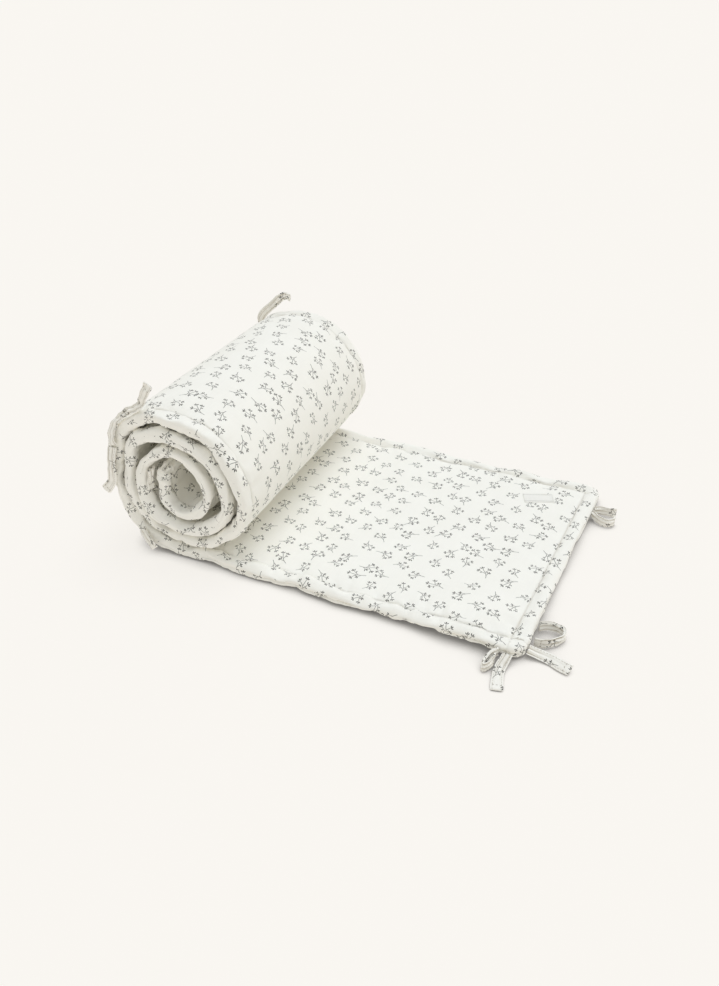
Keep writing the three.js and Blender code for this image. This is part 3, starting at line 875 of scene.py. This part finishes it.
def label_tape(panel, material):
    """A bare woven tape laid on the face, its two short ends turned under; it gives its stitching's runs."""
    over = BVHTree.FromObject(panel, bpy.context.evaluated_depsgraph_get())
    down = Vector((0, 0, -1))
    along = np.linspace(-0.5, 0.5, LABEL_GRID[0]) * LABEL_LENGTH
    across = np.linspace(-0.5, 0.5, LABEL_GRID[1]) * LABEL_WIDTH
    u, v = np.meshgrid(along, across, indexing="ij")
    spots = to_row(on_label(u, v, 0.0))
    height = [over.ray_cast(Vector((x, y, LABEL_DROP)), down)[0].z for x, y, _ in spots.reshape(-1, 3)]
    height = np.array(height).reshape(u.shape) / MM
    rim = np.minimum(LABEL_LENGTH / 2 - np.abs(u), LABEL_WIDTH / 2 - np.abs(v))
    past_fold = LABEL_TURNED_UNDER - (LABEL_LENGTH / 2 - np.abs(u))
    turned_under = LABEL_TURNED_THICKNESS / (1 + np.exp(-past_fold / LABEL_TURNED_SOFTNESS))
    sewn = LABEL_SEWN_DEPTH * hump(rim - LABEL_SEWN_INSET, LABEL_SEWN_WIDTH)
    thickness = (LABEL_THICKNESS + turned_under - sewn) * np.sqrt(np.clip(rim / LABEL_RIM, 0.1, 1))
    top = spots.copy()
    top[..., 2] = (height + LABEL_GAPS[0] + thickness) * MM
    below = spots.copy()
    below[..., 2] = (height + LABEL_GAPS[1]) * MM
    ids = np.arange(u.size).reshape(u.shape)
    under_ids = ids + u.size
    loop = np.concatenate([ids[0, :-1], ids[:-1, -1], ids[-1, :0:-1], ids[:0:-1, 0]])
    walls = np.stack([loop, np.roll(loop, -1), np.roll(loop, -1) + u.size, loop + u.size], -1)
    faces = np.concatenate([grid_quads(ids)[:, ::-1], grid_quads(under_ids), walls])
    points = np.concatenate([top.reshape(-1, 3), below.reshape(-1, 3)])
    label = mesh_object("label_tape", points, faces, material)
    place = np.tile(np.stack([u, v], -1).reshape(-1, 2), (2, 1))
    set_cloth_map(label.data, place[faces].reshape(-1, 2) * MM)
    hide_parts("label")
    corner = np.array([LABEL_LENGTH, LABEL_WIDTH]) / 2 - LABEL_SEWN_INSET
    border = np.array([(-1, -1), (1, -1), (1, 1), (-1, 1), (-1, -1)]) * corner
    runs = []
    for start, end in zip(border[:-1], border[1:]):
        line = np.linspace(start, end, LABEL_RUN_POINTS)
        run = on_label(line[:, 0], line[:, 1], height.mean() + LABEL_THICKNESS)
        runs.append((run, np.broadcast_to([0.0, 0.0, 1.0], run.shape)))
    return runs


# Stitching

def panel_stitch_runs():
    """The sewn line on both faces of the panel, one run for each side of it."""
    inner_length = np.array([STITCH_INSET, PANEL_LENGTH - STITCH_INSET])
    inner_width = np.array([STITCH_INSET, PANEL_WIDTH - STITCH_INSET])
    long_line = evenly(*inner_length, RUN_STEP)
    short_line = evenly(*inner_width, RUN_STEP)
    face_rise, under_depth = BORDER_SECTION[STITCH_ROW, [1, 3]]
    runs = []
    for side, raised in ((1, face_rise + STITCH_PROUD), (-1, -under_depth - STITCH_PROUD)):
        for width in inner_width:
            runs.append((panel_points(long_line, width, raised), to_face(long_line) * side))
        for length in inner_length:
            line = panel_points(length, short_line, raised)
            runs.append((line, to_face(np.full(len(short_line), length)) * side))
    return runs


def stitches(name, runs, material):
    """Short raised threads along the given runs, as one piece."""
    points = []
    faces = []
    first = 0
    one = np.array(tube_faces(len(STITCH_RINGS), STITCH_SIDES))
    turn = np.linspace(0, 2 * np.pi, STITCH_SIDES, endpoint=False)
    for line, normals in runs:
        along = lengths_along(line)
        count = int(along[-1] // STITCH_PITCH)
        spots = (np.arange(count) + 0.5) * along[-1] / max(count, 1)
        centre = sampled(line, along, spots)
        travel = unit(sampled(np.gradient(line, axis=0), along, spots))
        outward = sampled(normals, along, spots)
        outward = unit(outward - np.sum(outward * travel, -1, keepdims=True) * travel)
        beside = np.cross(outward, travel)
        corners = []
        for share, girth, rise in STITCH_RINGS:
            ring = centre + travel * share * STITCH_LENGTH + outward * rise * THREAD_RADIUS
            for angle in turn:
                around = beside * math.cos(angle) + outward * math.sin(angle)
                corners.append(ring + around * girth * THREAD_RADIUS)
        points.append(np.stack(corners, 1).reshape(-1, 3))
        start = first + np.arange(count) * len(corners)
        faces.append((one[None] + start[:, None, None]).reshape(-1, 4))
        first += count * len(corners)
    return mesh_object(name, to_row(np.concatenate(points)), np.concatenate(faces), material)


# Materials

class Wiring:
    """Adds shader nodes to one tree and links them."""

    def __init__(self, tree):
        self.tree = tree

    def feed(self, socket, value):
        if isinstance(value, bpy.types.NodeSocket):
            self.tree.links.new(value, socket)
        else:
            socket.default_value = value

    def node(self, kind, inputs=(), **settings):
        node = self.tree.nodes.new(kind)
        for name, value in settings.items():
            setattr(node, name, value)
        for name, value in dict(inputs).items():
            self.feed(node.inputs[name], value)
        return node

    def math(self, operation, *values):
        return self.node("ShaderNodeMath", enumerate(values), operation=operation).outputs[0]

    def product(self, first, second):
        return self.math("MULTIPLY", first, second)

    def of_all(self, operation, values):
        """One value from many, such as the least or the most of them."""
        return functools.reduce(lambda first, second: self.math(operation, first, second), values)

    def vector(self, operation, *values):
        return self.node("ShaderNodeVectorMath", enumerate(values), operation=operation).outputs["Vector"]

    def scaled(self, vector, scale):
        inputs = {"Vector": vector, "Scale": scale}
        return self.node("ShaderNodeVectorMath", inputs, operation="SCALE").outputs["Vector"]

    def turned(self, vector, angle):
        inputs = {"Vector": vector, "Angle": angle}
        return self.node("ShaderNodeVectorRotate", inputs, rotation_type="Z_AXIS").outputs[0]

    def local(self, given, size):
        """The given vector on the axes of a leaf or twig, moved to its place, turned and sized."""
        turn = self.joined(z=given["Turn"])
        inputs = {"Vector": given["Vector"], "Location": given["Place"], "Rotation": turn, "Scale": size}
        return self.node("ShaderNodeMapping", inputs, vector_type="TEXTURE").outputs[0]

    def parts(self, vector):
        return self.node("ShaderNodeSeparateXYZ", {"Vector": vector}).outputs

    def joined(self, x=0.0, y=0.0, z=0.0):
        return self.node("ShaderNodeCombineXYZ", {"X": x, "Y": y, "Z": z}).outputs[0]

    def ramp(self, value, low, high, start=0.0, end=1.0):
        inputs = {"Value": value, "From Min": low, "From Max": high, "To Min": start, "To Max": end}
        return self.node("ShaderNodeMapRange", inputs, interpolation_type="SMOOTHSTEP").outputs[0]

    def mixed(self, share, first, second):
        return self.node("ShaderNodeMix", {0: share, 6: first, 7: second}, data_type="RGBA").outputs[2]

    def bump(self, height, strength, distance):
        inputs = {"Strength": strength, "Distance": distance, "Height": height}
        return self.node("ShaderNodeBump", inputs).outputs[0]

    def noise(self, vector, scale, detail=2.0):
        inputs = {"Vector": vector, "Scale": scale, "Detail": detail}
        return self.node("ShaderNodeTexNoise", inputs).outputs[0]

    def group(self, tree, **inputs):
        return self.node("ShaderNodeGroup", inputs, node_tree=tree).outputs

    def cloth_place(self):
        return self.node("ShaderNodeUVMap", uv_map="cloth").outputs[0]


SOCKETS = {"vector": "NodeSocketVector", "value": "NodeSocketFloat", "colour": "NodeSocketColor"}


def shader_group(name, inputs, outputs):
    """A new node group with named sockets: its tree, its wiring, what it is given and what it puts out."""
    tree = bpy.data.node_groups.new(name, "ShaderNodeTree")
    for sockets, way in ((inputs, "INPUT"), (outputs, "OUTPUT")):
        for label, kind in sockets.items():
            tree.interface.new_socket(label, in_out=way, socket_type=SOCKETS[kind])
    wiring = Wiring(tree)
    given = wiring.node("NodeGroupInput").outputs
    put = wiring.node("NodeGroupOutput").inputs
    return tree, wiring, given, put


def leaf_group():
    """Pointed leaf: below 1 inside its outline."""
    inputs = {"Vector": "vector", "Place": "vector", "Turn": "value", "Size": "vector"}
    tree, wiring, given, put = shader_group("sprig leaf", inputs, {"Reach": "value"})
    x, y, _ = wiring.parts(wiring.local(given, given["Size"]))
    wiring.feed(put["Reach"], wiring.math("ADD", wiring.math("ABSOLUTE", y), wiring.product(x, x)))
    return tree


def twig_group():
    """Bowed thin line from its place: the gap to it in millimetres."""
    inputs = {"Vector": "vector", "Place": "vector", "Turn": "value", "Length": "value", "Bow": "value"}
    tree, wiring, given, put = shader_group("sprig twig", inputs, {"Gap": "value"})
    x, y, _ = wiring.parts(wiring.local(given, (1.0, 1.0, 1.0)))
    to_tip = wiring.math("SUBTRACT", given["Length"], x)
    bow = wiring.product(wiring.product(x, to_tip), given["Bow"])
    off = wiring.math("ABSOLUTE", wiring.math("SUBTRACT", y, bow))
    half = wiring.product(given["Length"], 0.5)
    past = wiring.math("SUBTRACT", wiring.math("ABSOLUTE", wiring.math("SUBTRACT", x, half)), half)
    wiring.feed(put["Gap"], wiring.math("MAXIMUM", off, past))
    return tree


# Sprigs in millimetres: a long bowed stem as (start, turn in degrees, length, bow), then twigs as (share
# along the stem, turn from it, length), each with a tuft of leaves at its tip and, if long, one lower leaf
SPRIGS = [
    {
        "stem": ((-9.5, -3.6), 17.0, 13.0, -0.024),
        "twigs": [(1.0, 8, 2.8), (0.74, -50, 5.0), (0.6, 44, 6.8), (0.34, -40, 3.4)],
    },
    {
        "stem": ((-9.0, 3.0), -16.0, 12.5, 0.026),
        "twigs": [(1.0, -12, 3.2), (0.76, 54, 4.8), (0.5, -42, 7.0), (0.3, 40, 3.2)],
    },
]
TWIG_BOW = 0.014
STEM_EDGE = (0.46, 0.18)
LEAF_SIZE = (1.65, 0.6)
LEAF_EDGE = (1.25, 0.85)
# Leaves at a tip as (turn from the twig, scale) with their reach in leaf lengths, and the single lower leaf
TUFT = [(0.0, 1.0), (48.0, 0.9), (-38.0, 0.8)]
TUFT_REACH = 1.35
LOW_LEAF_AT = 0.52
LOW_LEAF_TURN = 52.0
LOW_LEAF_REACH = 1.1
LOW_LEAF_SCALE = 0.8
LOW_LEAF_MIN_TWIG = 5.2


def tip_of(start, turn, length):
    return start[0] + length * math.cos(math.radians(turn)), start[1] + length * math.sin(math.radians(turn))


def twig_lines(sprig):
    """Start, turn and length of every twig, from its share along the bowed stem."""
    start, stem_turn, stem_length, bow = sprig["stem"]
    lines = []
    for share, turn, length in sprig["twigs"]:
        along = share * stem_length
        base = tip_of(tip_of(start, stem_turn, along), stem_turn + 90, bow * along * (stem_length - along))
        lines.append((base, stem_turn + turn, length))
    return lines


def sprig_leaves(twigs):
    """Place, turn and scale of every leaf on the twigs."""
    leaves = []
    for start, turn, length in twigs:
        tip = tip_of(start, turn, length)
        for spread, scale in TUFT:
            leaves.append((tip_of(tip, turn + spread, LEAF_SIZE[0] * TUFT_REACH), turn + spread, scale))
        if length >= LOW_LEAF_MIN_TWIG:
            low = tip_of(start, turn, length * LOW_LEAF_AT)
            leaf_turn = turn + math.copysign(LOW_LEAF_TURN, turn)
            place = tip_of(low, leaf_turn, LEAF_SIZE[0] * LOW_LEAF_REACH)
            leaves.append((place, leaf_turn, LOW_LEAF_SCALE))
    return leaves


def sprig_group(name, sprig, leaf, twig):
    """One printed sprig round the origin, in millimetres."""
    tree, wiring, given, put = shader_group(name, {"Vector": "vector"}, {"Leaf": "value", "Stem": "value"})
    twigs = twig_lines(sprig)
    gaps = []
    for (x, y), turn, length, bow in [sprig["stem"], *((*line, TWIG_BOW) for line in twigs)]:
        gaps.append(wiring.group(
            twig, Vector=given["Vector"], Place=(x, y, 0.0), Turn=math.radians(turn), Length=length, Bow=bow,
        )["Gap"])
    reaches = []
    for (x, y), turn, scale in sprig_leaves(twigs):
        reaches.append(wiring.group(
            leaf, Vector=given["Vector"], Place=(x, y, 0.0), Turn=math.radians(turn),
            Size=(LEAF_SIZE[0] * scale, LEAF_SIZE[1] * scale, 1.0),
        )["Reach"])
    wiring.feed(put["Leaf"], wiring.ramp(wiring.of_all("MINIMUM", reaches), *LEAF_EDGE))
    wiring.feed(put["Stem"], wiring.ramp(wiring.of_all("MINIMUM", gaps), *STEM_EDGE))
    return tree


# The print: cells in millimetres, and how the sprig in each is moved, turned, flipped and sized
PRINT_PERIOD = 37.0
PRINT_JITTER = 9.0
PRINT_TURN = math.radians(27)
PRINT_START = 40.0
PRINT_SIZES = (0.88, 1.08)
SIZE_SHUFFLE = 7.3
CELL_DRAW = (17.3, 5.1)
HALF_CELL = (0.5, 0.5, 0.0)


def sprig_print_group(sprigs):
    """The scattered print: two lattices of cells, each with one sprig, turned and moved at random."""
    outputs = {"Leaf": "value", "Stem": "value"}
    tree, wiring, given, put = shader_group("sprig print", {"Vector": "vector"}, outputs)
    in_mm = wiring.scaled(given["Vector"], 1 / MM)
    laid = wiring.turned(in_mm, PRINT_TURN)
    prints = []
    for index, sprig in enumerate(sprigs):
        offset = 0.5 * index + PRINT_START
        cells = wiring.vector("ADD", wiring.scaled(laid, 1 / PRINT_PERIOD), (offset, offset, 0.0))
        in_cell = wiring.vector("SUBTRACT", wiring.vector("FRACTION", cells), HALF_CELL)
        spot = wiring.scaled(in_cell, PRINT_PERIOD)
        draw = wiring.vector("ADD", wiring.vector("FLOOR", cells), (CELL_DRAW[0] * index, CELL_DRAW[1], 0.0))
        drawn = wiring.node("ShaderNodeTexWhiteNoise", {"Vector": draw}, noise_dimensions="2D").outputs
        jitter = wiring.scaled(wiring.vector("SUBTRACT", drawn["Color"], (0.5, 0.5, 0.5)), PRINT_JITTER)
        jitter = wiring.vector("MULTIPLY", jitter, (1.0, 1.0, 0.0))
        centred = wiring.vector("SUBTRACT", spot, jitter)
        turned = wiring.turned(centred, wiring.product(drawn["Value"], 2 * math.pi))
        chance = wiring.math("GREATER_THAN", wiring.parts(drawn["Color"])[2], 0.5)
        flip = wiring.math("SUBTRACT", wiring.product(chance, 2.0), 1.0)
        shuffled = wiring.math("FRACT", wiring.product(drawn["Value"], SIZE_SHUFFLE))
        size = wiring.ramp(shuffled, 0.0, 1.0, *PRINT_SIZES)
        sized = wiring.scaled(wiring.vector("MULTIPLY", turned, wiring.joined(1.0, flip, 1.0)), size)
        prints.append(wiring.group(sprig, Vector=sized))
    for name in outputs:
        wiring.feed(put[name], wiring.of_all("MAXIMUM", [printed[name] for printed in prints]))
    return tree


# The weave, in threads: how they wander, and how their thickness changes along and across them
THREAD_WANDER = 1.4
THREAD_WANDER_SCALE = 0.05
SLUB_ALONG = 0.02
SLUB_ACROSS = 0.8
SLUB_RANGE = (0.25, 0.75)
SLUB_TONES = (0.97, 1.02)


def weave_group():
    """Plain weave with uneven threads: a height, and a tone near 1 that changes from thread to thread."""
    inputs = {"Vector": "vector", "Pitch": "value"}
    tree, wiring, given, put = shader_group("plain weave", inputs, {"Height": "value", "Tone": "value"})
    pitches = wiring.joined(given["Pitch"], given["Pitch"], 1.0)
    threads = wiring.vector("DIVIDE", given["Vector"], pitches)
    inputs = {"Vector": threads, "Scale": THREAD_WANDER_SCALE}
    wander = wiring.node("ShaderNodeTexNoise", inputs).outputs["Color"]
    x, y, _ = wiring.parts(wiring.vector("ADD", threads, wiring.scaled(wander, THREAD_WANDER)))
    wave_x, wave_y = (wiring.math("SINE", wiring.product(part, math.pi)) for part in (x, y))
    along_x, along_y = (wiring.product(part, SLUB_ALONG) for part in (x, y))
    across_x, across_y = (wiring.product(part, SLUB_ACROSS) for part in (x, y))
    slub_x = wiring.noise(wiring.joined(along_x, across_y), 1.0)
    slub_y = wiring.noise(wiring.joined(across_x, along_y, 7.0), 1.0)
    slubs = wiring.product(wiring.math("ADD", slub_x, slub_y), 0.5)
    over = wiring.product(wiring.product(wave_x, wave_y), 0.5)
    wiring.feed(put["Height"], wiring.math("ADD", over, slubs))
    wiring.feed(put["Tone"], wiring.ramp(slubs, *SLUB_RANGE, *SLUB_TONES))
    return tree


# Colours and finishes: a roughness is the range of height that it follows and its ends, and a bump its
# strength and distance
LEAF_INK = (0.012, 0.014, 0.012, 1.0)
LEAF_INK_SHARES = (0.86, 0.97)
STEM_INK = (0.20, 0.203, 0.195, 1.0)
STEM_INK_SHARE = 0.9
# Painted shade: warm dark colour mixed into the cloth in its sewn lines and pleat valleys
PAINTED_CREASE_COLOUR = (0.36, 0.30, 0.21, 1.0)
PAINTED_CREASE_SHARE = 0.6
PANEL_COTTON = (0.957, 0.947, 0.903, 1.0)
PANEL_SHADE = (0.94, 0.928, 0.88, 1.0)
TIE_COTTON = (0.955, 0.942, 0.90, 1.0)
TIE_SHADE = (0.94, 0.922, 0.872, 1.0)
COTTON_WEAVE = 0.0005
WEAVE_RELIEF = 0.16
CLOUD_SCALE = 22.0
CLOUD_RANGE = (0.3, 0.75)
CREASE_SCALE = 85.0
PANEL_CRUMPLE = 0.45
TIE_CRUMPLE = 0.9
COTTON_ROUGHNESS = (0.0, 1.2, 0.96, 0.84)
COTTON_BUMP = (0.5, 0.0008)
LABEL_COTTON = (0.92, 0.912, 0.872, 1.0)
LABEL_PALE = (0.945, 0.937, 0.90, 1.0)
LABEL_LINE = (0.58, 0.565, 0.525, 1.0)
LABEL_LINE_SHARE = 0.5
LABEL_LINE_SIDES = ((0.0062, 0.0066), (0.0080, 0.0076))
LABEL_WEAVE = 0.0006
LABEL_CLOUD_SCALE = 120.0
LABEL_ROUGHNESS = (0.0, 1.2, 0.85, 0.65)
LABEL_BUMP = (0.6, 0.0003)
PANEL_THREAD = ((0.80, 0.79, 0.75, 1.0), (0.90, 0.89, 0.855, 1.0))
TIE_THREAD = ((0.60, 0.56, 0.48, 1.0), (0.74, 0.70, 0.62, 1.0))
HEM_THREAD = ((0.30, 0.27, 0.22, 1.0), (0.44, 0.40, 0.33, 1.0))
TWIST_SCALE = 900.0
THREAD_ROUGHNESS = (0.0, 1.0, 0.75, 0.55)
THREAD_BUMP = (0.5, 0.0002)


def new_material(name):
    material = bpy.data.materials.new(name)
    material.use_nodes = True
    material.node_tree.nodes.clear()
    wiring = Wiring(material.node_tree)
    shader = wiring.node("ShaderNodeBsdfPrincipled")
    output = wiring.node("ShaderNodeOutputMaterial")
    wiring.feed(output.inputs["Surface"], shader.outputs[0])
    return material, wiring, shader


def printed_cotton(name, groups, cotton, soft_shade, crumple):
    """Sprig-printed cotton: woven ground, soft tone changes, ink that sinks into the weave, and shade painted
    into its creases.
    """
    material, wiring, shader = new_material(name)
    place = wiring.cloth_place()
    weave = wiring.group(groups["weave"], Vector=place, Pitch=COTTON_WEAVE)
    printed = wiring.group(groups["print"], Vector=place)
    clouds = wiring.noise(place, CLOUD_SCALE, 3.0)
    ground = wiring.mixed(wiring.ramp(clouds, *CLOUD_RANGE), cotton, soft_shade)
    toned = wiring.scaled(ground, weave["Tone"])
    stem_ink = wiring.product(printed["Stem"], STEM_INK_SHARE)
    leaf_ink = wiring.product(printed["Leaf"], wiring.ramp(weave["Height"], 0.0, 1.0, *LEAF_INK_SHARES))
    inked = wiring.mixed(leaf_ink, wiring.mixed(stem_ink, toned, STEM_INK), LEAF_INK)
    # Painted shade from the point attribute, darkening the creases' colour
    painted_crease_shade = wiring.node("ShaderNodeAttribute", attribute_name="painted_crease_shade").outputs["Fac"]
    folded = wiring.mixed(wiring.product(painted_crease_shade, PAINTED_CREASE_SHARE), inked, PAINTED_CREASE_COLOUR)
    wiring.feed(shader.inputs["Base Color"], folded)
    wiring.feed(shader.inputs["Roughness"], wiring.ramp(weave["Height"], *COTTON_ROUGHNESS))
    creases = wiring.product(wiring.noise(place, CREASE_SCALE, 3.0), crumple)
    relief = wiring.math("ADD", creases, wiring.product(weave["Height"], WEAVE_RELIEF))
    wiring.feed(shader.inputs["Normal"], wiring.bump(relief, *COTTON_BUMP))
    shader.inputs["Sheen Weight"].default_value = 0.12
    shader.inputs["Sheen Roughness"].default_value = 0.5
    shader.inputs["Specular IOR Level"].default_value = 0.2
    return material


def woven_label(groups):
    """Close-woven beige tape with a darker line along each long side, and nothing on it."""
    material, wiring, shader = new_material("label_tape")
    place = wiring.cloth_place()
    weave = wiring.group(groups["weave"], Vector=place, Pitch=LABEL_WEAVE)
    from_middle = wiring.math("ABSOLUTE", wiring.parts(place)[1])
    line = wiring.product(*(wiring.ramp(from_middle, *side) for side in LABEL_LINE_SIDES))
    ground = wiring.mixed(wiring.noise(place, LABEL_CLOUD_SCALE), LABEL_COTTON, LABEL_PALE)
    lined = wiring.mixed(wiring.product(line, LABEL_LINE_SHARE), ground, LABEL_LINE)
    wiring.feed(shader.inputs["Base Color"], wiring.scaled(lined, weave["Tone"]))
    wiring.feed(shader.inputs["Roughness"], wiring.ramp(weave["Height"], *LABEL_ROUGHNESS))
    wiring.feed(shader.inputs["Normal"], wiring.bump(weave["Height"], *LABEL_BUMP))
    shader.inputs["Sheen Weight"].default_value = 0.1
    shader.inputs["Specular IOR Level"].default_value = 0.25
    return material


def sewing_thread(name, dark, light):
    """Twisted thread."""
    material, wiring, shader = new_material(name)
    place = wiring.node("ShaderNodeTexCoord").outputs["Object"]
    inputs = {"Vector": place, "Scale": TWIST_SCALE, "Distortion": 2.0}
    twist = wiring.node("ShaderNodeTexWave", inputs, bands_direction="DIAGONAL").outputs["Fac"]
    wiring.feed(shader.inputs["Base Color"], wiring.mixed(twist, dark, light))
    wiring.feed(shader.inputs["Roughness"], wiring.ramp(twist, *THREAD_ROUGHNESS))
    wiring.feed(shader.inputs["Normal"], wiring.bump(twist, *THREAD_BUMP))
    shader.inputs["Sheen Weight"].default_value = 0.1
    return material


leaf = leaf_group()
twig = twig_group()
sprigs = [sprig_group(f"sprig {i + 1}", sprig, leaf, twig) for i, sprig in enumerate(SPRIGS)]
groups = {"print": sprig_print_group(sprigs), "weave": weave_group()}
panel_cloth = printed_cotton("printed_cotton", groups, PANEL_COTTON, PANEL_SHADE, PANEL_CRUMPLE)
tie_cloth = printed_cotton("tie_cotton", groups, TIE_COTTON, TIE_SHADE, TIE_CRUMPLE)
label_cloth = woven_label(groups)
thread = sewing_thread("sewing_thread", *PANEL_THREAD)
tie_thread = sewing_thread("tie_thread", *TIE_THREAD)
hem_thread = sewing_thread("hem_thread", *HEM_THREAD)

panel = padded_panel(panel_cloth)
tie_runs = []
hem_runs = []
for index, name in enumerate([*TAIL_TIES, *ROLL_TIES]):
    make = tail_tie if name in TAIL_TIES else roll_tie
    runs, across_hem = make(name, tie_cloth, index + 1)
    tie_runs += runs
    hem_runs += across_hem
label_runs = label_tape(panel, label_cloth)
stitches("panel_stitching", panel_stitch_runs(), thread)
stitches("tie_stitching", tie_runs, tie_thread)
stitches("tie_hem_stitching", hem_runs, hem_thread)
stitches("label_stitching", label_runs, thread)


# Floor, light and camera

FLOOR_SIZE = 60.0
FLOOR_GAP = 0.0004
FLOOR_TONE = np.array([0.947, 0.922, 0.880])
FLOOR_LIGHT = np.array([0.948, 0.966, 0.968])
FLOOR_GLOW = 0.82
FLOOR_GRAIN = (0.2, 0.8, 0.998, 1.002)
# Painted contact shadow: reach of the occlusion, and how it dims the floor's glow
PAINTED_SHADOW_REACH = 0.03
PAINTED_SHADOW_RANGE = (0.1, 0.86, 0.1, 1.0)
SKY_LOW = (1.0, 0.925, 0.755, 1.0)
SKY_HIGH = (0.94, 0.98, 1.0, 1.0)
SKY_STRENGTH = 0.66
SUN_COLOUR = (0.933, 0.959, 1.0)
SUN_STRENGTH = 1.17
SUN_ANGLE = math.radians(40)
SUN_FROM = Vector((0.16, 0.26, 1.0))
DIFFUSE_BOUNCES = 14


def floor_material():
    """Plain pale floor, lit from below as a light table is, with a painted contact shadow: its glow is dimmed
    by ambient occlusion where the bumper stands close over it.
    """
    material, wiring, shader = new_material("studio_floor")
    place = wiring.node("ShaderNodeTexCoord").outputs["Object"]
    grain = wiring.ramp(wiring.noise(place, 3.0, 4.0), *FLOOR_GRAIN)
    shade = tuple(FLOOR_TONE / FLOOR_LIGHT * (1 - FLOOR_GLOW))
    wiring.feed(shader.inputs["Base Color"], wiring.scaled(shade, grain))
    # Painted shadow: the floor's glow is dimmed by ambient occlusion near the bumper
    close = wiring.node("ShaderNodeAmbientOcclusion", {"Distance": PAINTED_SHADOW_REACH}, samples=12)
    shader.inputs["Emission Color"].default_value = (*(FLOOR_TONE * FLOOR_GLOW), 1.0)
    wiring.feed(shader.inputs["Emission Strength"], wiring.ramp(close.outputs["AO"], *PAINTED_SHADOW_RANGE))
    shader.inputs["Roughness"].default_value = 0.95
    shader.inputs["Specular IOR Level"].default_value = 0.0
    return material


def studio():
    """Pale floor under a soft sky, cool overhead and warm at the horizon, and a broad light from above."""
    half = FLOOR_SIZE / 2
    corners = [(x * half, y * half, -FLOOR_GAP) for x, y in ((-1, -1), (1, -1), (1, 1), (-1, 1))]
    mesh = bpy.data.meshes.new("studio_floor")
    mesh.from_pydata(corners, [], [(0, 1, 2, 3)])
    mesh.materials.append(floor_material())
    floor = bpy.data.objects.new("studio_floor", mesh)
    bpy.context.scene.collection.objects.link(floor)

    world = bpy.data.worlds.new("studio_light")
    world.use_nodes = True
    background = next(node for node in world.node_tree.nodes if node.type == "BACKGROUND")
    wiring = Wiring(world.node_tree)
    height = wiring.parts(wiring.node("ShaderNodeTexCoord").outputs["Generated"])[2]
    wiring.feed(background.inputs["Color"], wiring.mixed(wiring.ramp(height, 0.0, 0.9), SKY_LOW, SKY_HIGH))
    background.inputs["Strength"].default_value = SKY_STRENGTH
    bpy.context.scene.world = world

    sun = bpy.data.lights.new("key_light", "SUN")
    sun.color = SUN_COLOUR
    sun.energy = SUN_STRENGTH
    sun.angle = SUN_ANGLE
    key = bpy.data.objects.new("key_light", sun)
    key.rotation_euler = SUN_FROM.to_track_quat("Z", "Y").to_euler()
    bpy.context.scene.collection.objects.link(key)
    bpy.context.scene.view_settings.view_transform = "Standard"
    bpy.context.scene.cycles.diffuse_bounces = DIFFUSE_BOUNCES


def photo_camera():
    camera_data = bpy.data.cameras.new("camera")
    camera_data.sensor_fit = "VERTICAL"
    camera_data.sensor_height = SENSOR
    camera_data.lens = LENS
    camera = bpy.data.objects.new("camera", camera_data)
    bpy.context.scene.collection.objects.link(camera)
    backward = np.array([
        math.sin(VIEW_AZIMUTH) * math.cos(VIEW_ELEVATION),
        -math.cos(VIEW_AZIMUTH) * math.cos(VIEW_ELEVATION),
        math.sin(VIEW_ELEVATION),
    ])
    camera.location = Vector(to_row(VIEW_TARGET + VIEW_DISTANCE * backward))
    camera.rotation_euler = Vector(backward).to_track_quat("Z", "Y").to_euler()
    bpy.context.scene.camera = camera


studio()
photo_camera()
